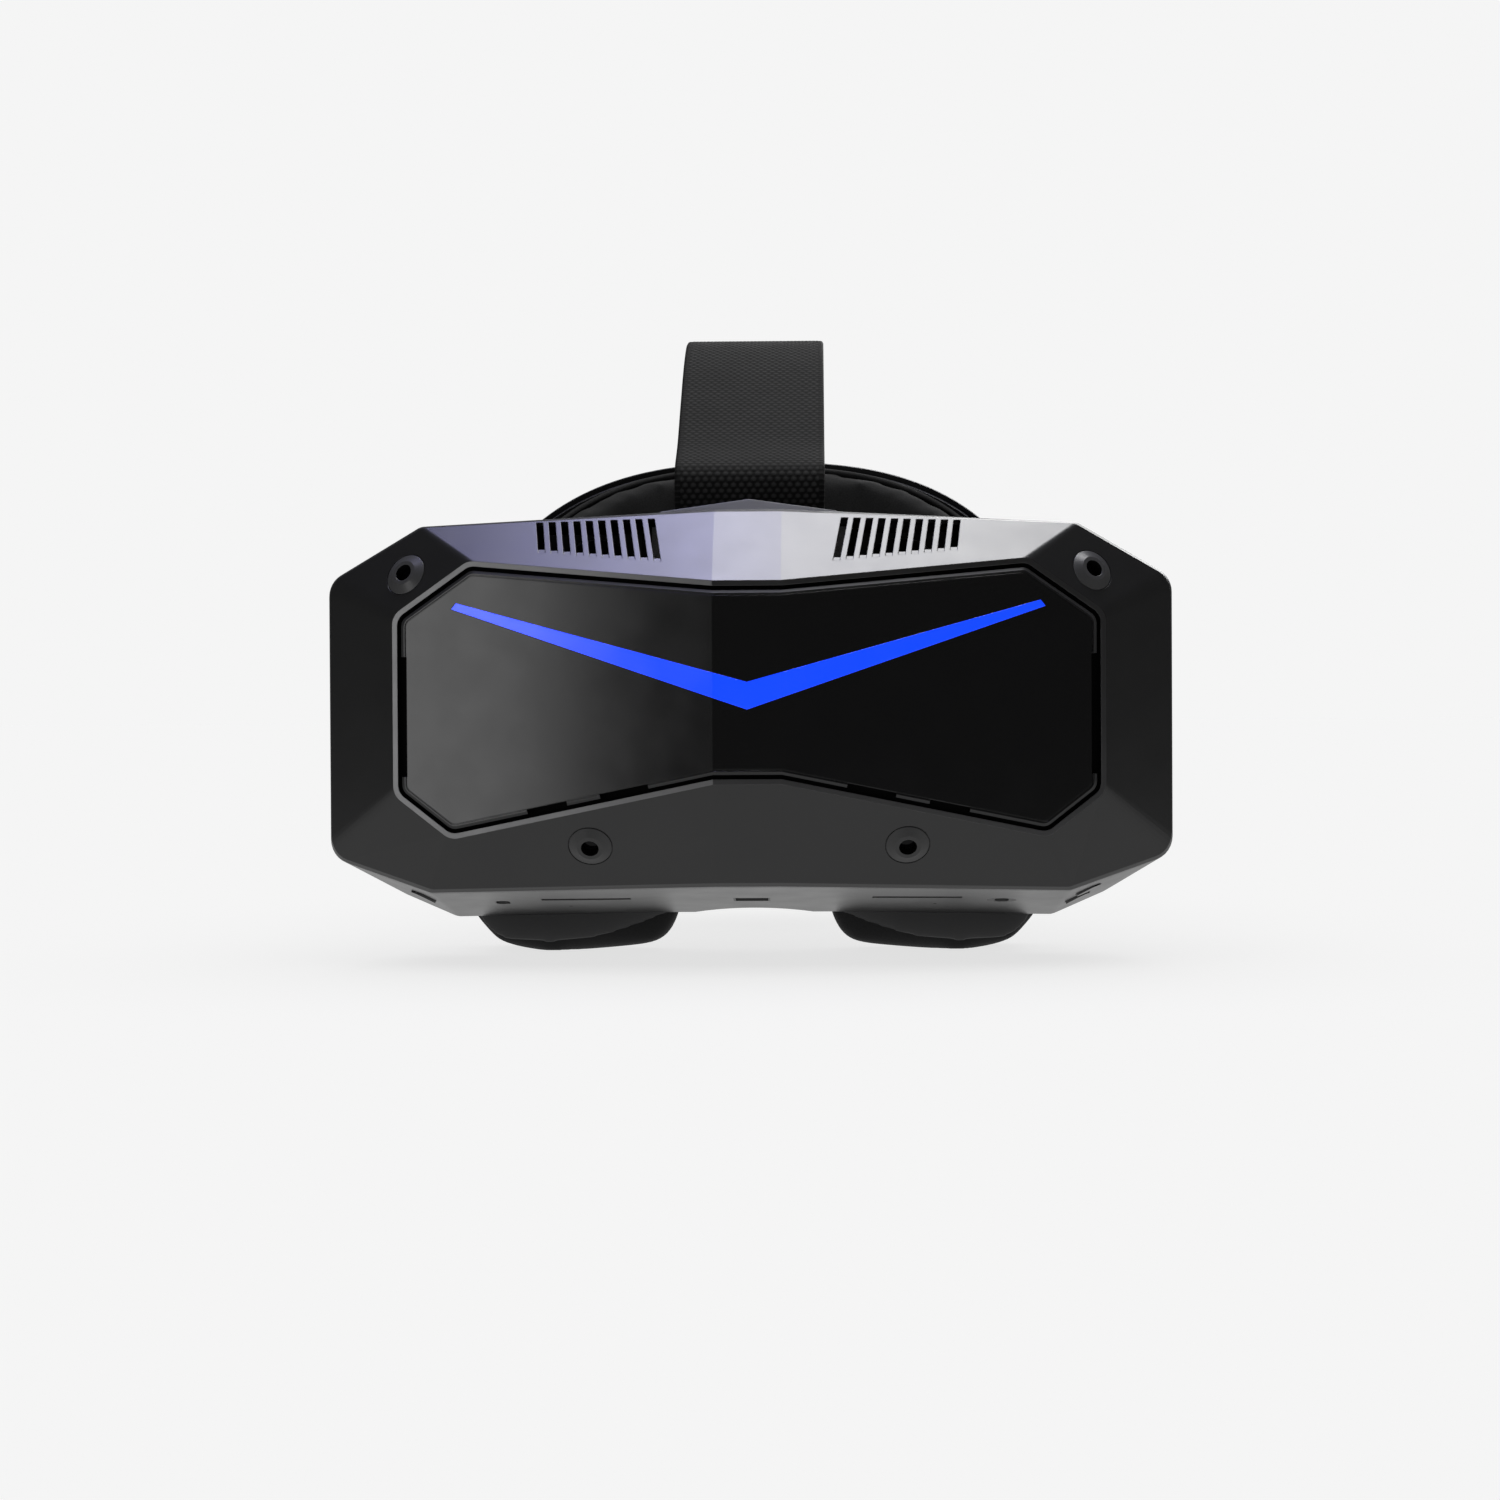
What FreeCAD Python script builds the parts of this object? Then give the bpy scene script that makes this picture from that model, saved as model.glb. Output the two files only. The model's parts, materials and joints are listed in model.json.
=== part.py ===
import FreeCAD, Part
import math
import os

# VR headset: a faceted visor with a lift-off cover plate, two sliding eye modules, a face gasket,
# and a head harness made of two arms, a rear cradle with a tightening dial and a top strap.
# Millimetres.  X is to the right as seen from the front, +Y points from the visor to the back of
# the head and +Z is up.  The origin is on the floor under the middle of the headset's box.
# "Depth" is the distance behind the middle of the cover plate's face.

V = FreeCAD.Vector

# ---- driving dimensions ---------------------------------------------------------------------
FRONT_Y = -157.62          # Y of the cover plate's face, which is depth 0
WALL = 2.2                 # wall of the visor's shells
SEAM_GAP = 0.25            # gap between the front and rear shells
GAP = 0.3                  # clearance between pieces of different bodies
RUN = 0.05                 # radial clearance of a running fit
REAR_DEPTH = 98.0          # depth of the visor's rear wall

STRIP_HALF = 11.0          # half width of the flat strip down the middle of the face
SWEEP = math.tan(math.radians(12.0))   # how fast the face falls back outside the strip
LIP_DEPTH = 1.0            # depth of the lip at the middle
LIP_BAND = 1.7             # width of the lip round the plate's recess
PLATE_GAP = 1.4            # gap between the lip and the plate
PLATE_THICK = 3.2
RECESS_DEPTH = 3.8         # depth of the recess floor at the middle
WINDOW_LEDGE = 7.0         # width of the ledge that the plate sits on
RIDGE_BEVEL = 1.3          # width of the bevels along the ridge
CORNER_STEPS = 6           # flats that round each corner of a ring

# Half rings of the visor, from the top middle round the +X side to the bottom middle: x, z, radius
LIP = [(0, 126.0, 0), (11, 126.0, 0), (90.5, 133.5, 6), (116, 116, 6),
       (116, 57.5, 6), (97, 43, 6), (11, 61.0, 0), (0, 61.0, 0)]
RIDGE = [(0, 150.3, 0), (11, 150.3, 0), (108, 145.6, 5), (140, 127.8, 8),
         (140, 36.7, 8), (105, 25.3, 5), (11, 27.4, 0), (0, 27.4, 0)]
REAR = [(0, 152.3, 0), (11, 152.3, 0), (104, 141.5, 6), (126, 124, 9),
        (127, 23, 9), (103.7, 12.8, 6), (28, 14.0, 0), (0, 14.0, 0)]
RIDGE_TOP_DEPTH = 30.0     # depth of the ridge at the top middle
RIDGE_LOW_DEPTH = 22.0     # depth of the ridge at the bottom middle

VENT_COUNT = 10            # slots on each side
VENT_WIDTH = 2.3
VENT_TOP = ((31.6, 147.2), (68.3, 146.3))       # x, z of the first and last slot's upper end
VENT_LOW = ((28.9, 133.6), (66.8, 137.0))
VENT_SILL = 1.1            # height of the sill under a slot
VENT_SILL_DEEP = 0.5

CAMERA_UPPER = (112.0, 129.6)   # x, z of the tracking cameras
CAMERA_LOWER = (51.3, 40.9)
BEZEL_R = 7.0
BEZEL_HIGH = 1.4
BARREL_R = 5.0
PUPIL_R = 2.9
BEZEL_SEAT = 0.4           # depth of the seat that a bezel sits in

CHEVRON_TIP = (94.5, 119.8, 117.8)    # x, upper z and lower z of the accent strip's tip
CHEVRON_MID = (93.7, 84.9)            # upper and lower z of its point in the middle

EYE_X = 32.5               # half of the rest distance between the pupils
EYE_Z = 87.0
EYE_TRAVEL = 3.5
CUP_R = 26.0               # outer radius of a lens cup
CUP_WALL = 1.6
CUP_FRONT = 52.0           # depth of a cup's closed end
CUP_REAR = 97.0
ROD_R = 2.0
ROD_RISE = 31.0            # height of the upper guide rod over the eye's centre
ROD_DEPTH = 66.0
ROD_HALF = 80.0
IPD_MODULE = 0.8
IPD_TEETH = 12
IPD_Z = 43.0               # height of the pinion that moves both eyes
IPD_DEPTH = 60.0
IPD_THICK = 4.0

CABLE_DEPTH = 60.0         # depth of the cable inlet in the bottom wall
JACK_X = 84.0              # place of the headphone socket in the bottom wall
JACK_DEPTH = 60.0
PORT_HALF = (2.35, 4.2)    # half width and half length of the openings at the sides

FAN_X = 50.0
FAN_Z = 127.5
FAN_DEPTH = 36.0
FAN_SIZE = 30.0
FAN_THICK = 8.0
FAN_R = 13.0

GASKET_DEPTH = 103.0       # depth where the rigid frame ends and the foam starts
FOAM_END = 141.0
FACE_R = 150.0             # radius of the curve that the face rests against
FACE_DEPTH = 122.0         # depth of that curve in the middle

PIVOT_DEPTH = 111.0        # the temple pivots
PIVOT_Z = 93.5
PIVOT_R = 3.0
ARM_TILT = 10.5            # degrees that the harness climbs towards the back
ARM_X = 108.0              # inner face of an arm
ARM_THICK = 5.0
ARM_LENGTH = 54.0
ARM_HALF = 10.0
TONGUE_END = 94.0
TONGUE_HALF = 6.0
TONGUE_THICK = 1.8
CRADLE_R = 113.5           # outer radius of the cradle, seen from above
CRADLE_REACH = 192.0       # from the pivots to the cradle's rear face, along the arms
CRADLE_HALF_W = 109.0
CRADLE_HALF_H = 57.7
CRADLE_SQUARENESS = 2.8    # 2 would make the cradle's outline an ellipse
OVAL_POINTS = 48
OVAL_FROM = 90.0           # the cradle's oval starts this far behind the pivots
OVAL_LENGTH = 160.0
SLEEVE_START = 64.0
SLEEVE_END = 102.0
SLEEVE_HALF = 9.0
BAND_MODULE = 1.0
BAND_TEETH = 12
BAND_R = 109.8             # middle radius of the toothed bands
BAND_THICK = 1.8
BAND_EDGE = 13.0           # height of a band's plain edge over the pinion's axis
DIAL_R = 23.0
DIAL_THICK = 11.0

STRAP_WIDTH = 50.5
STRAP_THICK = 1.8
STRAP_FRONT = [(58.5, 141.5), (58.5, 160.5), (64, 167.5), (84, 176.5), (110, 192.5), (135, 207),
               (158, 217), (174, 220.6), (186, 220.9), (204, 219.8), (222, 217.4), (236, 214.9),
               (248.6, 211.2), (274.5, 200.55)]
STRAP_REAR = [(247.9, 209.4), (273.8, 198.75), (283, 194.3), (293, 187.2), (298.5, 180.2),
              (299, 173.5)]
CLIP_MIDDLE = (260.0, 202.0)   # depth and height of the clip under the straps' joint
CLIP_TILT = -22.4          # degrees that the clip slopes down towards the back
CLIP_SIZE = (44.0, 30.0, 2.4)
RIVET_R = 2.2
RIVET_HIGH = 0.8

# ---- general helpers ------------------------------------------------------------------------


def at(x, depth, z):
    """A point from its x, its depth behind the plate's face and its height."""
    return V(x, FRONT_Y + depth, z)


def box(x0, x1, depth0, depth1, z0, z1):
    """A box between two corners, with the Y side given as depths."""
    return Part.makeBox(x1 - x0, depth1 - depth0, z1 - z0, at(x0, depth0, z0))


def rod(start, end, radius):
    """A round bar between two points."""
    axis = end - start
    return Part.makeCylinder(radius, axis.Length, start, axis)


def along_y(x, z, depth0, depth1, radius):
    """A round bar along Y."""
    return rod(at(x, depth0, z), at(x, depth1, z), radius)


def mirrored(shape):
    """The same piece on the other side of the headset."""
    return shape.mirror(V(0, 0, 0), V(1, 0, 0))


def joined(first, *others):
    """One solid made of several that overlap."""
    return first.fuse(list(others)).removeSplitter()


def rounded_points(points, radii, steps):
    """A closed polygon's points with each corner replaced by short flats along an arc."""
    result = []
    count = len(points)
    for i, corner in enumerate(points):
        radius = radii[i]
        if radius == 0:
            result.append(corner)
            continue
        back = (points[i - 1] - corner).normalize()
        ahead = (points[(i + 1) % count] - corner).normalize()
        half = back.getAngle(ahead) / 2
        middle = (back + ahead).normalize()
        centre = corner + middle * (radius / math.sin(half))
        start = corner + back * (radius / math.tan(half)) - centre
        end = corner + ahead * (radius / math.tan(half)) - centre
        sweep = start.getAngle(end)
        for k in range(steps + 1):
            t = k / steps
            a = math.sin((1 - t) * sweep) / math.sin(sweep)
            b = math.sin(t * sweep) / math.sin(sweep)
            result.append(centre + start * a + end * b)
    return result


def outline(points, radii=None):
    """A flat face in the XZ plane from (x, z) points, with true arcs at its corners."""
    corners = [V(x, 0, z) for x, z in points]
    radii = radii or [0] * len(corners)
    edges = []
    ends = []
    count = len(corners)
    for i, corner in enumerate(corners):
        if radii[i] == 0:
            ends.append((corner, corner))
            continue
        back = (corners[i - 1] - corner).normalize()
        ahead = (corners[(i + 1) % count] - corner).normalize()
        half = back.getAngle(ahead) / 2
        reach = radii[i] / math.tan(half)
        centre = corner + (back + ahead).normalize() * (radii[i] / math.sin(half))
        middle = centre + (corner - centre).normalize() * radii[i]
        start = corner + back * reach
        end = corner + ahead * reach
        edges.append((i, Part.Arc(start, middle, end).toShape()))
        ends.append((start, end))
    arcs = dict(edges)
    chain = []
    for i in range(count):
        if i in arcs:
            chain.append(arcs[i])
        following = ends[(i + 1) % count][0]
        if ends[i][1].distanceToPoint(following) > 1e-6:
            chain.append(Part.makeLine(ends[i][1], following))
    return Part.Face(Part.Wire(chain))


def prism(face, depth0, depth1):
    """A flat XZ face pushed along Y between two depths."""
    moved = face.copy()
    moved.translate(V(0, FRONT_Y + depth0, 0))
    return moved.extrude(V(0, depth1 - depth0, 0))


def full(half):
    """Both sides of a half outline that starts and ends on the middle plane."""
    points = [(x, z) for x, z, r in half]
    radii = [r for x, z, r in half]
    other = [(-x, z) for x, z in reversed(points[1:-1])]
    return points + other, radii + list(reversed(radii[1:-1]))


def inset(half, amount, shrink_radius=0.0):
    """A half outline moved inwards by an amount; the corners of the middle strip keep their x."""
    points, radii = full(half)
    count = len(points)
    moved = []
    for i in range(len(half)):
        x, z = points[i]
        before = V(x - points[i - 1][0], 0, z - points[i - 1][1]).normalize()
        after = V(points[(i + 1) % count][0] - x, 0, points[(i + 1) % count][1] - z).normalize()
        inward_a = V(before.z, 0, -before.x)
        inward_b = V(after.z, 0, -after.x)
        mitre = (inward_a + inward_b) * (1 / (1 + inward_a.dot(inward_b)))
        new = V(x, 0, z) + mitre * amount
        radius = max(radii[i] - shrink_radius, 0.5) if radii[i] else 0
        moved.append((x if x <= STRIP_HALF else new.x, new.z, radius))
    return moved


def plan_slab(depth0, depth1, reach=150.0):
    """A tall slab that follows the face: flat across the middle strip, swept back outside it."""
    far = (reach - STRIP_HALF) * SWEEP
    plan = [(-reach, depth0 + far), (-STRIP_HALF, depth0), (STRIP_HALF, depth0),
            (reach, depth0 + far), (reach, depth1 + far), (STRIP_HALF, depth1),
            (-STRIP_HALF, depth1), (-reach, depth1 + far)]
    points = [at(x, depth, 0) for x, depth in plan]
    return Part.Face(Part.makePolygon(points + points[:1])).extrude(V(0, 0, 170))


def swept(x, depth):
    """Depth of the face at x, for a surface that is at the given depth in the middle."""
    return depth + max(0.0, abs(x) - STRIP_HALF) * SWEEP


# ---- the visor's rings ----------------------------------------------------------------------


def plane_depth(a, b, c, x, z):
    """Depth at (x, z) of the plane through three points."""
    normal = (b - a).cross(c - a)
    y = a.y - (normal.x * (x - a.x) + normal.z * (z - a.z)) / normal.y
    return y - FRONT_Y


def ridge_depths():
    """Depths of the ridge that make the facets between the lip and the ridge flat."""
    lip = [at(x, swept(x, LIP_DEPTH), z) for x, z, r in LIP]
    spots = [(x, z) for x, z, r in RIDGE]
    top = at(spots[1][0], RIDGE_TOP_DEPTH, spots[1][1])
    low = at(spots[6][0], RIDGE_LOW_DEPTH, spots[6][1])
    corner = plane_depth(lip[1], lip[2], top, *spots[2])
    corner_point = at(spots[2][0], corner, spots[2][1])
    side = plane_depth(lip[2], lip[3], corner_point, *spots[3])
    low_corner = plane_depth(lip[6], lip[5], low, *spots[5])
    return [RIDGE_TOP_DEPTH, RIDGE_TOP_DEPTH, corner, side, side, low_corner,
            RIDGE_LOW_DEPTH, RIDGE_LOW_DEPTH]


def ring(half, depths):
    """The closed ring of points of a half outline at the given depths."""
    right = [at(x, d, z) for (x, z, r), d in zip(half, depths)]
    left = [at(-x, d, z) for (x, z, r), d in zip(half, depths)]
    radii = [r for x, z, r in half]
    points = right + list(reversed(left[1:-1]))
    return rounded_points(points, radii + list(reversed(radii[1:-1])), CORNER_STEPS)


def swept_ring(half, depth):
    """The closed ring of a half outline that lies on the swept face at the given depth."""
    return ring(half, [swept(x, depth) for x, z, r in half])


def towards(first, second, distance):
    """The points of one ring moved towards another ring by a distance."""
    return [p + (q - p).normalize() * distance for p, q in zip(first, second)]


def face_of(points):
    return Part.Face(Part.makePolygon(points + points[:1]))


def band_faces(ring_a, ring_b):
    """Faces between two rings: one quad where it is flat, two triangles where it isn't."""
    faces = []
    count = len(ring_a)
    for i in range(count):
        a = ring_a[i]
        b = ring_a[(i + 1) % count]
        c = ring_b[(i + 1) % count]
        d = ring_b[i]
        normal = (b - a).cross(c - a).normalize()
        if abs(normal.dot(d - a)) < 1e-6:
            faces.append(face_of([a, b, c, d]))
        else:
            faces.append(face_of([a, b, c]))
            faces.append(face_of([a, c, d]))
    return faces


def fan_faces(points, centre):
    """A closed ring filled with triangles that meet at a point."""
    count = len(points)
    return [face_of([points[i], points[(i + 1) % count], centre]) for i in range(count)]


def swept_faces(points):
    """A ring on the swept face, filled with its two sides and the flat strip between them."""
    right = [p for p in points if p.x > STRIP_HALF - 0.01]
    left = [p for p in points if p.x < -STRIP_HALF + 0.01]
    strip = [p for p in points if abs(p.x) < STRIP_HALF + 0.01]
    return [face_of(right), face_of(left), face_of(strip)]


def skin(rings, front_centre, rear_centre):
    """A closed solid through a row of rings.  Its ends are filled towards a point, or, where the
    front's point is None, with the swept face."""
    front = swept_faces(rings[0]) if front_centre is None else fan_faces(rings[0], front_centre)
    faces = front + fan_faces(rings[-1], rear_centre)
    for first, second in zip(rings, rings[1:]):
        faces += band_faces(first, second)
    solid = Part.Solid(Part.Shell(faces))
    if solid.Volume < 0:
        solid.reverse()
    return solid.removeSplitter()


def visor_rings():
    """The lip ring, the two rings of the ridge's bevel and the rear ring."""
    lip = swept_ring(LIP, LIP_DEPTH)
    ridge = ring(RIDGE, ridge_depths())
    rear = ring(REAR, [REAR_DEPTH] * len(REAR))
    return lip, towards(ridge, lip, RIDGE_BEVEL), towards(ridge, rear, RIDGE_BEVEL), rear


def visor_outside(lip, front_bevel, rear_bevel, rear):
    return skin([lip, front_bevel, rear_bevel, rear], None, at(0, REAR_DEPTH, 80))


def visor_inside():
    """The hollow of the visor, from behind the front wall to behind the rear wall."""
    front = swept_ring(inset(LIP, 1.0), RECESS_DEPTH + 1.6)
    waist = ring(inset(RIDGE, WALL, 1.5), [d + 1.6 for d in ridge_depths()])
    back = ring(inset(REAR, WALL, 1.5), [REAR_DEPTH - WALL] * len(REAR))
    return skin([front, waist, back], None, at(0, REAR_DEPTH - WALL, 80))


# ---- visor shells ---------------------------------------------------------------------------


def facet_frame(spot, a, b, c):
    """The point of a facet at (x, z), and the facet's outward normal."""
    x, z = spot
    normal = (b - a).cross(c - a).normalize()
    if normal.y > 0:
        normal = normal * -1
    return at(x, plane_depth(a, b, c, x, z), z), normal


def camera_frames():
    """Place and direction of the four tracking cameras: upper right, lower right, and mirrored."""
    lip = [at(x, swept(x, LIP_DEPTH), z) for x, z, r in LIP]
    ridge = [at(x, d, z) for (x, z, r), d in zip(RIDGE, ridge_depths())]
    upper = facet_frame(CAMERA_UPPER, lip[2], lip[3], ridge[2])
    lower = facet_frame(CAMERA_LOWER, lip[6], lip[5], ridge[6])
    frames = {"upper_right": upper, "lower_right": lower}
    for side in ("upper", "lower"):
        place, normal = frames[side + "_right"]
        frames[side + "_left"] = (V(-place.x, place.y, place.z), V(-normal.x, normal.y, normal.z))
    return frames


def between(first, last, share):
    """A point part of the way from one (x, z) point to another."""
    return first[0] + share * (last[0] - first[0]), first[1] + share * (last[1] - first[1])


def slanted_bar(top, low, depth0, depth1):
    """A bar along Y as wide as an air slot, from its upper end to its lower end."""
    half = VENT_WIDTH / 2
    face = outline([(top[0] - half, top[1]), (top[0] + half, top[1]),
                    (low[0] + half, low[1]), (low[0] - half, low[1])])
    return prism(face, depth0, depth1)


def over_upper_facet(sunk):
    """A block over the +X half's upper facet, with its bottom sunk into the facet."""
    middle = (50.0, 140.0)
    lip = [at(x, swept(x, LIP_DEPTH), z) for x, z, r in LIP]
    place, normal = facet_frame(middle, lip[1], lip[2], at(RIDGE[1][0], RIDGE_TOP_DEPTH, RIDGE[1][1]))
    block = Part.makeBox(200, 200, 40, V(-100, -100, -sunk))
    block.Placement = FreeCAD.Placement(place, FreeCAD.Rotation(V(0, 0, 1), normal))
    return block.copy()


def vent_slots():
    """The slanted air slots over both fans, each with a shallow sill at its lower end."""
    cuts = []
    above = over_upper_facet(VENT_SILL_DEEP)
    for k in range(VENT_COUNT):
        share = k / (VENT_COUNT - 1)
        top = between(*VENT_TOP, share)
        low = between(*VENT_LOW, share)
        foot = between(top, low, 1 + VENT_SILL / (top[1] - low[1]))
        sill = slanted_bar(between(top, low, 0.9), foot, 2, 36).common(above)
        for cut in (slanted_bar(top, low, 2, 36), sill):
            cuts.append(cut)
            cuts.append(mirrored(cut))
    return cuts


def recess():
    """The recess that the cover plate sits in, and the window through its floor."""
    points, radii = full(inset(LIP, LIP_BAND, 1.0))
    wide = prism(outline(points, radii), -30, 80).common(plan_slab(-25, RECESS_DEPTH))
    points, radii = full(inset(LIP, LIP_BAND + WINDOW_LEDGE, 3.0))
    window = prism(outline(points, radii), -30, 80).common(plan_slab(-20, 12))
    return wide.fuse(window)


def front_shell(inside, seam_front, lip):
    """The faceted front casing, with its vents, camera seats and plate recess."""
    front = skin([lip] + seam_front, None, at(0, 34, 90))
    shape = front.cut(inside).cut(recess())
    shape = shape.cut(vent_slots() + plate_magnets())
    for place, normal in camera_frames().values():
        seat = rod(place + normal * 3, place - normal * BEZEL_SEAT, BEZEL_R + GAP)
        shape = shape.cut([seat, rod(place, place - normal * 12, BARREL_R)])
    return shape


def button_cuts():
    return [button_blank(name, 0.35, 12.0) for name in BUTTONS]


def rear_shell(inside, seam_rear):
    """The rear casing: side, top and bottom walls, the rear wall with both eye holes and posts."""
    body = skin(seam_rear, at(0, 34, 90), at(0, REAR_DEPTH, 80)).cut(inside)
    for side in (-1, 1):
        hole = eye_slot(side, CUP_R + 1.0)
        body = body.cut(hole)
    for height in (EYE_Z - ROD_RISE, EYE_Z + ROD_RISE):
        for side in (-1, 1):
            centre = side * (ROD_HALF - 4)
            post = box(centre - 4, centre + 4, ROD_DEPTH - 5, REAR_DEPTH - 1, height - 5, height + 5)
            body = body.fuse(post)
    body = body.cut([guide_rod(EYE_Z - ROD_RISE), guide_rod(EYE_Z + ROD_RISE)])
    body = body.cut(strap_slot(0.8))
    body = body.cut([cable_block(0.0), jack_blank(), mirrored(port_slot()), nose_arch()])
    body = body.cut(bottom_slits() + button_cuts() + screw_blanks() + mic_holes())
    return body.cut(sensor_box()).removeSplitter()


def eye_slot(side, radius):
    """A slot as long as an eye's travel, for a cup of the given radius."""
    a = side * EYE_X - EYE_TRAVEL
    b = side * EYE_X + EYE_TRAVEL
    near = along_y(a, EYE_Z, REAR_DEPTH - 8, REAR_DEPTH + 5, radius)
    far = along_y(b, EYE_Z, REAR_DEPTH - 8, REAR_DEPTH + 5, radius)
    middle = box(a, b, REAR_DEPTH - 8, REAR_DEPTH + 5, EYE_Z - radius, EYE_Z + radius)
    return near.fuse([far, middle])


def nose_arch():
    """A shallow arch that lifts the bottom wall's rear edge over the nose."""
    radius = 60.0
    return rod(at(0, 44, 17.4 - radius - 6), at(0, 108, 17.4 - radius + 1), radius)


def strap_slot(margin):
    half = STRAP_WIDTH / 2 + margin
    middle = STRAP_FRONT[0][0]
    thick = STRAP_THICK / 2 + margin
    return box(-half, half, middle - thick, middle + thick, 138, 170)


def top_cover(shells):
    """The raised roof-shaped cover on top, with the slot that the top strap comes out of."""
    roof = outline([(-32, 145), (-29, 150.2), (0, 154.4), (29, 150.2), (32, 145)])
    rise = prism(roof, 37, 90)
    nose = Part.Face(Part.makePolygon([at(-40, 30, 160), at(-40, 47, 160), at(-40, 32, 140),
                                       at(-40, 30, 160)])).extrude(V(80, 0, 0))
    rise = rise.cut(nose)
    return rise.cut(shells + [strap_slot(0.8)]).removeSplitter()


def strap_anchor():
    """The bar inside the visor that the top strap is stitched round."""
    half = STRAP_WIDTH / 2 + 3
    middle = STRAP_FRONT[0][0]
    bar = rod(at(-half, middle, 138.6), at(half, middle, 138.6), 2.2)
    for side in (-1, 1):
        x = side * (half + 2)
        bar = bar.fuse(box(x - 2.5, x + 2.5, middle - 4, middle + 4, 135, 146))
    return bar.cut(strap_solid(STRAP_FRONT)).removeSplitter()


def bulkhead(inside):
    """The swept panel behind the window, which carries the plate's magnets and the boards."""
    points, radii = full(inset(LIP, 3.0, 2.0))
    panel = prism(outline(points, radii), -10, 80)
    panel = panel.common(plan_slab(RECESS_DEPTH + 1.6, RECESS_DEPTH + 3.2))
    return panel.common(inside)


def magnet_spots():
    return [(x, z) for x in (-102, 102) for z in (64, 110)] + [(-26, 68), (26, 68), (-26, 118),
                                                               (26, 118)]


def plate_magnets():
    """Eight disc magnets on the bulkhead."""
    discs = []
    for x, z in magnet_spots():
        depth = swept(x, 0)
        disc = along_y(x, z, depth - 5, depth + 30, 3.0)
        discs.append(disc.common(plan_slab(RECESS_DEPTH + 0.2, RECESS_DEPTH + 1.6)))
    return discs


# ---- cover plate ----------------------------------------------------------------------------


def plate_notches():
    """Finger and latch notches in the plate's edges."""
    cuts = []
    for side in (-1, 1):
        rim = side * (116 - LIP_BAND - PLATE_GAP - 1.8)
        x0, x1 = sorted((rim, side * 118.0))
        cuts.append(box(x0, x1, -5, 60, 63.5, 102.5))
        for near, far in ((31.5, 47.5), (58.0, 71.3)):
            xa, xb = sorted((side * near, side * far))
            low = bottom_edge((near + far) / 2)
            slope = math.degrees(math.atan2(18.0, 86.0)) * side
            notch = box(xa, xb, -5, 60, low - 6, low + 1.5)
            notch.rotate(at((xa + xb) / 2, 0, low), V(0, 1, 0), slope)
            cuts.append(notch)
    return cuts


def bottom_edge(x):
    """Height of the plate's lower edge at a distance from the middle."""
    edge = inset(LIP, LIP_BAND + PLATE_GAP)
    (x0, z0, _), (x1, z1, _) = edge[6], edge[5]
    return z0 + (z1 - z0) * (x - x0) / (x1 - x0)


def chevron():
    """The V-shaped outline of the accent strip, as a prism."""
    tip_x, tip_high, tip_low = CHEVRON_TIP
    mid_high, mid_low = CHEVRON_MID
    points = [(-tip_x, tip_high), (0, mid_high), (tip_x, tip_high), (tip_x + 1.6, tip_low),
              (0, mid_low), (-tip_x - 1.6, tip_low)]
    return prism(outline(points), -10, 60)


def cover_plate():
    """The lift-off plate: a glossy panel with a bevelled rim and a fine groove inside the rim."""
    edge = inset(LIP, LIP_BAND + PLATE_GAP, 2.0)
    rim = inset(edge, 0.9, 0.5)
    rings = [swept_ring(rim, 0), swept_ring(edge, 0.9), swept_ring(edge, 20)]
    plate = skin(rings, None, at(0, 20, 90)).common(plan_slab(-1, PLATE_THICK))
    points, radii = full(inset(edge, 1.3, 1.0))
    outer = prism(outline(points, radii), -10, 60)
    points, radii = full(inset(edge, 1.65, 1.2))
    groove = outer.cut(prism(outline(points, radii), -10, 60)).common(plan_slab(-1, 0.4))
    plate = plate.cut([groove] + plate_notches())
    return plate.cut(chevron().common(plan_slab(-1, 0.35)))


def accent_strip():
    return chevron().common(plan_slab(-0.05, 0.35))


# ---- tracking cameras -----------------------------------------------------------------------


def camera_bezel(place, normal):
    """A shallow cone with a barrel behind it and a bore for the lens."""
    flange = Part.makeCone(BEZEL_R, PUPIL_R + 1.3, BEZEL_HIGH, place, normal)
    base = rod(place, place - normal * BEZEL_SEAT, BEZEL_R)
    barrel = rod(place, place - normal * 9, BARREL_R)
    shape = flange.fuse([base, barrel])
    return shape.cut(rod(place + normal * 3, place - normal * 7, PUPIL_R)).removeSplitter()


def camera_lens(place, normal):
    """A domed lens at the bottom of a camera's bore."""
    body = rod(place - normal * 7, place - normal * 1.5, PUPIL_R)
    dome = Part.makeSphere(4.0, place - normal * 4.6)
    return body.common(dome)


# ---- electronics ----------------------------------------------------------------------------


def main_board():
    """The circuit board, with its row of chips."""
    board = box(-76, 76, 28, 29.6, 62, 109)
    chips = [box(x - 7, x + 7, 29.6, 31.4, z - 7, z + 7) for x in (-54, 0, 54) for z in (74, 97)]
    return joined(board, *chips)


def heat_sink():
    """A finned block on the front of the board."""
    base = box(-26, 26, 25.5, 28, 66, 106)
    fins = [box(x - 0.6, x + 0.6, 15, 25.6, 66, 106) for x in range(-24, 25, 6)]
    return joined(base, *fins)


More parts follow.
